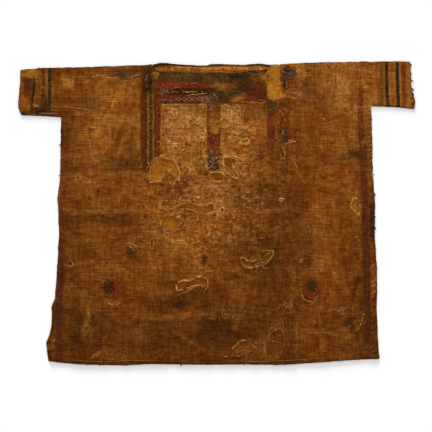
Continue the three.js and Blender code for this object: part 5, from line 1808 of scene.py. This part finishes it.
# Tufts that stand out of the tunic's edge: x, y, where each points to from there, and a half width.
TUFTS = [
    (37.4, 69.2, 38.8, 67.6, 1.8),
    (39.4, 69.0, 38.6, 67.6, 1.6),
    (53.4, 307, 51.2, 308.6, 2.4),
    (50.4, 340, 46.8, 342.4, 2.2),
    (49.8, 350.6, 47.6, 352.6, 2.0),
    (60.4, 144, 58.6, 145.6, 1.4),
    (60, 174.6, 58.2, 175.8, 1.3),
    (59.6, 206, 58.2, 207.2, 1.0),
    (373.4, 174, 374.4, 175.4, 1.4),
    (374.4, 193, 375.9, 195.4, 1.6),
    (374.2, 205, 375.4, 206.6, 1.3),
    (374, 215, 375.8, 217.6, 2.2),
    (374.4, 227, 376.3, 229, 2.4),
    (375, 247, 376.6, 249, 1.5),
    (376, 262, 377.2, 263.4, 1.4),
    (410.8, 63.6, 412.2, 65.6, 1.8),
    (410.2, 72.6, 412.2, 74.2, 1.6),
    (411, 79.6, 413.9, 81.2, 1.8),
    (412, 88, 414.2, 90.4, 2.0),
    (412.6, 93, 414, 95.4, 2.0),
    (411.2, 97, 412.8, 98.4, 1.4),
    (411.4, 104.6, 416, 103.2, 0.9),
    (88, 364, 87, 365.6, 1.4),
    (99, 364.2, 100.4, 365.8, 1.4),
    (180, 364.6, 181.6, 366.2, 1.8),
    (243, 364.4, 244, 365.6, 1.3),
    (282, 363.6, 283, 364.8, 1.3),
]
# Whip stitches along the right edge: the y's between which they run, their dye and their number.
WHIPPING = [(204, 240, "soot", 14), (266, 296, "gold", 12), (110, 160, "gold", 14), (300, 352, "umber", 10)]
WHIPPED_EDGE = ([110, 200, 300, 352], [367.4, 369.4, 371.4, 372.6])  # y's and the x of the edge at each
WAVE_PART = 14  # how many points each piece of the wave's yarn has


def running_wave(yarns):
    """The two pale lines of the yoke's running wave."""
    along = np.arange(WAVE_LEFT, WAVE_RIGHT, 0.5)
    for side in (-1, 1):
        line = np.c_[along, WAVE_Y + side * WAVE_SWING * wave(along)]
        for start in range(0, len(line), WAVE_PART):
            lost = yarns.draw.uniform() < 0.12
            if not lost:
                part = line[start : start + WAVE_PART + 1]
                yarns.add(part, 0.75, blend_of("blush", "rose", 0.25), 0.5, 0.25)


def flecks(yarns, x, y, half_x, half_y, count):
    """Broken ends of pale thread round a pixel."""
    for _ in range(count):
        at = yarns.near(x, y, half_x, half_y)
        ends = at + np.outer([-1, 0, 1], yarns.draw.normal(0, 0.6, 2))
        yarns.add(ends, 0.7, blend_of("blush", "ash", yarns.draw.uniform()), 0.6, 0.3)


def whip_stitches(yarns):
    """Stitches over the right edge, uneven in reach and slant."""
    for low, high, dye, count in WHIPPING:
        for y in np.linspace(low, high, count):
            y = y + yarns.draw.uniform(-1, 1)
            x = np.interp(y, *WHIPPED_EDGE)
            reach = yarns.draw.uniform(2.6, 5.4)
            path = [(x, y + 1.6), (x + 0.5 * reach, y), (x + reach, y - yarns.draw.uniform(1.2, 2.6))]
            yarns.add(curve(path), yarns.draw.uniform(0.9, 1.7), dye, 0.6, 0.3, EDGE_LEAST)


def dark_rim(yarns, cloth, seed):
    """A dark worn cord along a sheet's outline, with gaps."""
    px, py = pixels(cloth.outline - outward(cloth.outline) * 0.3 * MM)
    by_the_neck = (px > 262) & (px < 300) & (py < 104)
    shown = (noise(px, py, 7, seed) > -0.3) & ~near_seam(px, py) & ~by_the_neck
    for part in runs(np.c_[px, py], shown):
        dark = blend_of("soot", "umber", yarns.draw.uniform(0, 1))
        yarns.add(part, yarns.draw.uniform(0.9, 1.5), dark, 0.3, 0.1, EDGE_LEAST)


def tufts(yarns):
    for x, y, to_x, to_y, half in TUFTS:
        bend = yarns.draw.normal(0, 0.3, 2)
        path = [(x, y), ((x + to_x) / 2 + bend[0], (y + to_y) / 2 + bend[1]), (to_x, to_y)]
        yarns.add(curve(path, 0.4), half, blend_of("soot", "umber", 0.4), 0.5, 0.1, EDGE_LEAST)


def seam_yarns(yarns):
    """Four wandering yarns along each sleeve's seam."""
    for x, low, high in ((SEAM_LEFT, 69, 111), (SEAM_RIGHT, 63, 105)):
        for _ in range(4):
            line = [(x + yarns.draw.uniform(-0.35, 0.35), y) for y in np.linspace(low, high, 8)]
            yarns.add(curve(line), 1.1, blend_of("brown", "gold", yarns.draw.uniform(0, 0.4)), 0.4, 0.4)


FUZZ = 2600
SLUBS = 1400
FRAYED_DYES = ("gold", "gold", "straw", "umber", "brown")
# Frayed places of the lower half: x, y, half width, half height and how many bits of yarn lie there.
FRAYED = [
    (286, 300, 8, 8, 46),
    (284, 316, 6, 9, 46),
    (222, 316, 14, 3, 44),
    (342, 310, 7, 5, 44),
    (206, 280, 14, 7, 60),
    (196, 262, 8, 10, 36),
    (254, 259, 13, 6, 56),
    (243, 347, 12, 8, 70),
    (274, 336, 7, 12, 60),
    (87, 328, 5, 8, 34),
    (149, 236, 6, 16, 50),
    (152, 262, 5, 9, 34),
    (362, 321, 4, 9, 34),
    (110, 278, 6, 5, 24),
    (128, 246, 4, 4, 16),
    (66, 262, 4, 5, 16),
    (108, 356, 8, 4, 24),
]
# Bits of yarn on the support cloth in the losses, the same way, and their dyes.
SUPPORT_BITS = [
    (212, 69.4, 50, 2.4, 170, ("umber", "gold", "ochre")),
    (274, 84, 6, 16, 70, ("umber", "gold", "honey")),
    (290, 95, 8, 2, 20, ("umber", "gold")),
    (163, 166, 9, 7, 40, ("umber", "gold", "russet")),
    (190, 217, 10, 7, 90, ("umber", "gold", "russet", "brown")),
    (273.5, 339, 8, 15, 170, ("umber", "gold", "honey", "brown")),
    (243, 349, 12, 7, 110, ("umber", "gold", "honey", "brown")),
    (357, 206, 4, 8, 30, ("umber", "gold", "honey")),
    (365, 318, 4, 9, 40, ("umber", "brown", "gold")),
]
# Torn ends along the losses: how many, the way they point in radians, their dyes and the edge they
# hang from.
FRINGES = [
    (46, 0.1, ("wine", "umber", "gold", "russet"), [(267.6, 74), (265.4, 84), (265.8, 94), (267.4, 101)]),
    (34, math.pi, ("umber", "brown", "gold"), [(281.4, 66), (282, 78), (283.4, 90)]),
    (26, 1.4, ("umber", "brown", "gold"), [(284, 91.6), (291, 94), (299, 96.8)]),
    (26, -1.4, ("umber", "brown", "gold"), [(270, 102.2), (280, 101.2), (292, 99)]),
    (22, 1.3, ("umber", "gold", "soot"), [(252, 75.6), (260, 76.6), (266, 80)]),
    (50, 1.4, ("umber", "brown", "gold"), [(160, 67.2), (190, 68.6), (225, 67.6), (262, 66.4)]),
    (60, -1.4, ("umber", "soot", "gold"), [(160, 72), (200, 72.4), (240, 72), (262, 70.6)]),
]
# Broken ends of pale thread in the tapestry: x, y, half width, half height and how many.
PALE_ENDS = [
    (204, 99.5, 6, 3.6, 26),
    (214, 100, 4.5, 6, 22),
    (146.4, 78, 1.2, 12, 12),
    (289, 73, 6.5, 6, 12),
    (214, 153, 6, 2, 9),
]

frays = Yarns(top_height, 91)
lip_lines(frays)
hole_lips(frays, front_cloth.holes)
for place in FRAYED:
    specks(frays, *place, FRAYED_DYES)
frays.piece("frayed_yarns", "wool")

bits = Yarns(top_height, 94)
fuzz(bits, FUZZ)
slubs(bits, SLUBS)
for place in SUPPORT_BITS:
    specks(bits, *place)
for row in FRINGES:
    fringe(bits, *row)
bits.piece("broken_yarns", "wool")

threads = Yarns(top_height, 92)
for half, dye, points in THREADS:
    threads.add(curve(points), half, dye, 0.6, 0.25, EDGE_LEAST)
running_wave(threads)
for place in PALE_ENDS:
    flecks(threads, *place)
threads.piece("pale_threads", "wool")

edges = Yarns(top_height, 93)
for half, points in NECK_ROLLS:
    edges.add(curve(points), half, blend_of("soot", "umber", 0.4), 0.4, 0.2, EDGE_LEAST)
tufts(edges)
whip_stitches(edges)
for number, cloth in enumerate([front_cloth, *sleeve_tops]):
    dark_rim(edges, cloth, 711 + number)
seam_yarns(edges)
edges.piece("edge_yarns", "wool")

# ---- Studio --------------------------------------------------------------------------------------

FLOOR_HALF = 6.0
FLOOR_DROP = 0.4 * MM  # keeps the floor clear of the cloth that lies on it
FLOOR_SHADE = 0.9

floor_mesh = bpy.data.meshes.new("floor")
floor_corners = [(x * FLOOR_HALF, y * FLOOR_HALF, 0) for x, y in ((-1, -1), (1, -1), (1, 1), (-1, 1))]
floor_mesh.from_pydata(floor_corners, [], [(0, 1, 2, 3)])
floor = placed("floor", floor_mesh)
floor.location.z = -FLOOR_DROP
pale = bpy.data.materials.new("pale_floor")
pale.use_nodes = True
pale_inputs = pale.node_tree.nodes["Principled BSDF"].inputs
pale_inputs["Base Color"].default_value = (FLOOR_SHADE, FLOOR_SHADE, FLOOR_SHADE, 1)
pale_inputs["Roughness"].default_value = 0.9
floor_mesh.materials.append(pale)

KEY_HEIGHT, KEY_SIDE = 12, 10  # degrees over the floor, and from the top of the picture to its left
KEY_STRENGTH = 1.35
KEY_SPREAD = 16  # degrees
SKY_STRENGTH = 0.84

key_data = bpy.data.lights.new("key", "SUN")
key_data.energy = KEY_STRENGTH * math.pi
key_data.angle = math.radians(KEY_SPREAD)
key = placed("key", key_data)
key.rotation_euler = (math.radians(KEY_HEIGHT - 90), 0, math.radians(KEY_SIDE))
world = bpy.data.worlds.new("world")
world.use_nodes = True
sky_inputs = world.node_tree.nodes["Background"].inputs
sky_inputs["Color"].default_value = (1, 1, 1, 1)
sky_inputs["Strength"].default_value = SKY_STRENGTH
bpy.context.scene.world = world

PHOTO_SIZE = 432  # pixels
CAMERA_LENS, CAMERA_SENSOR = 85, 36
CAMERA_RAISE = 5 * MM  # brings the cloth's face, over the floor, to the photograph's scale

camera_data = bpy.data.cameras.new("camera")
camera_data.lens = CAMERA_LENS
camera_data.sensor_width = CAMERA_SENSOR
camera = placed("camera", camera_data)
middle_x, middle_y = metres(PHOTO_SIZE / 2, PHOTO_SIZE / 2)
away = PHOTO_SIZE * PIXEL * CAMERA_LENS / CAMERA_SENSOR
camera.location = (middle_x, middle_y, away + CAMERA_RAISE)
scene = bpy.context.scene
scene.camera = camera
scene.view_settings.view_transform = "Standard"
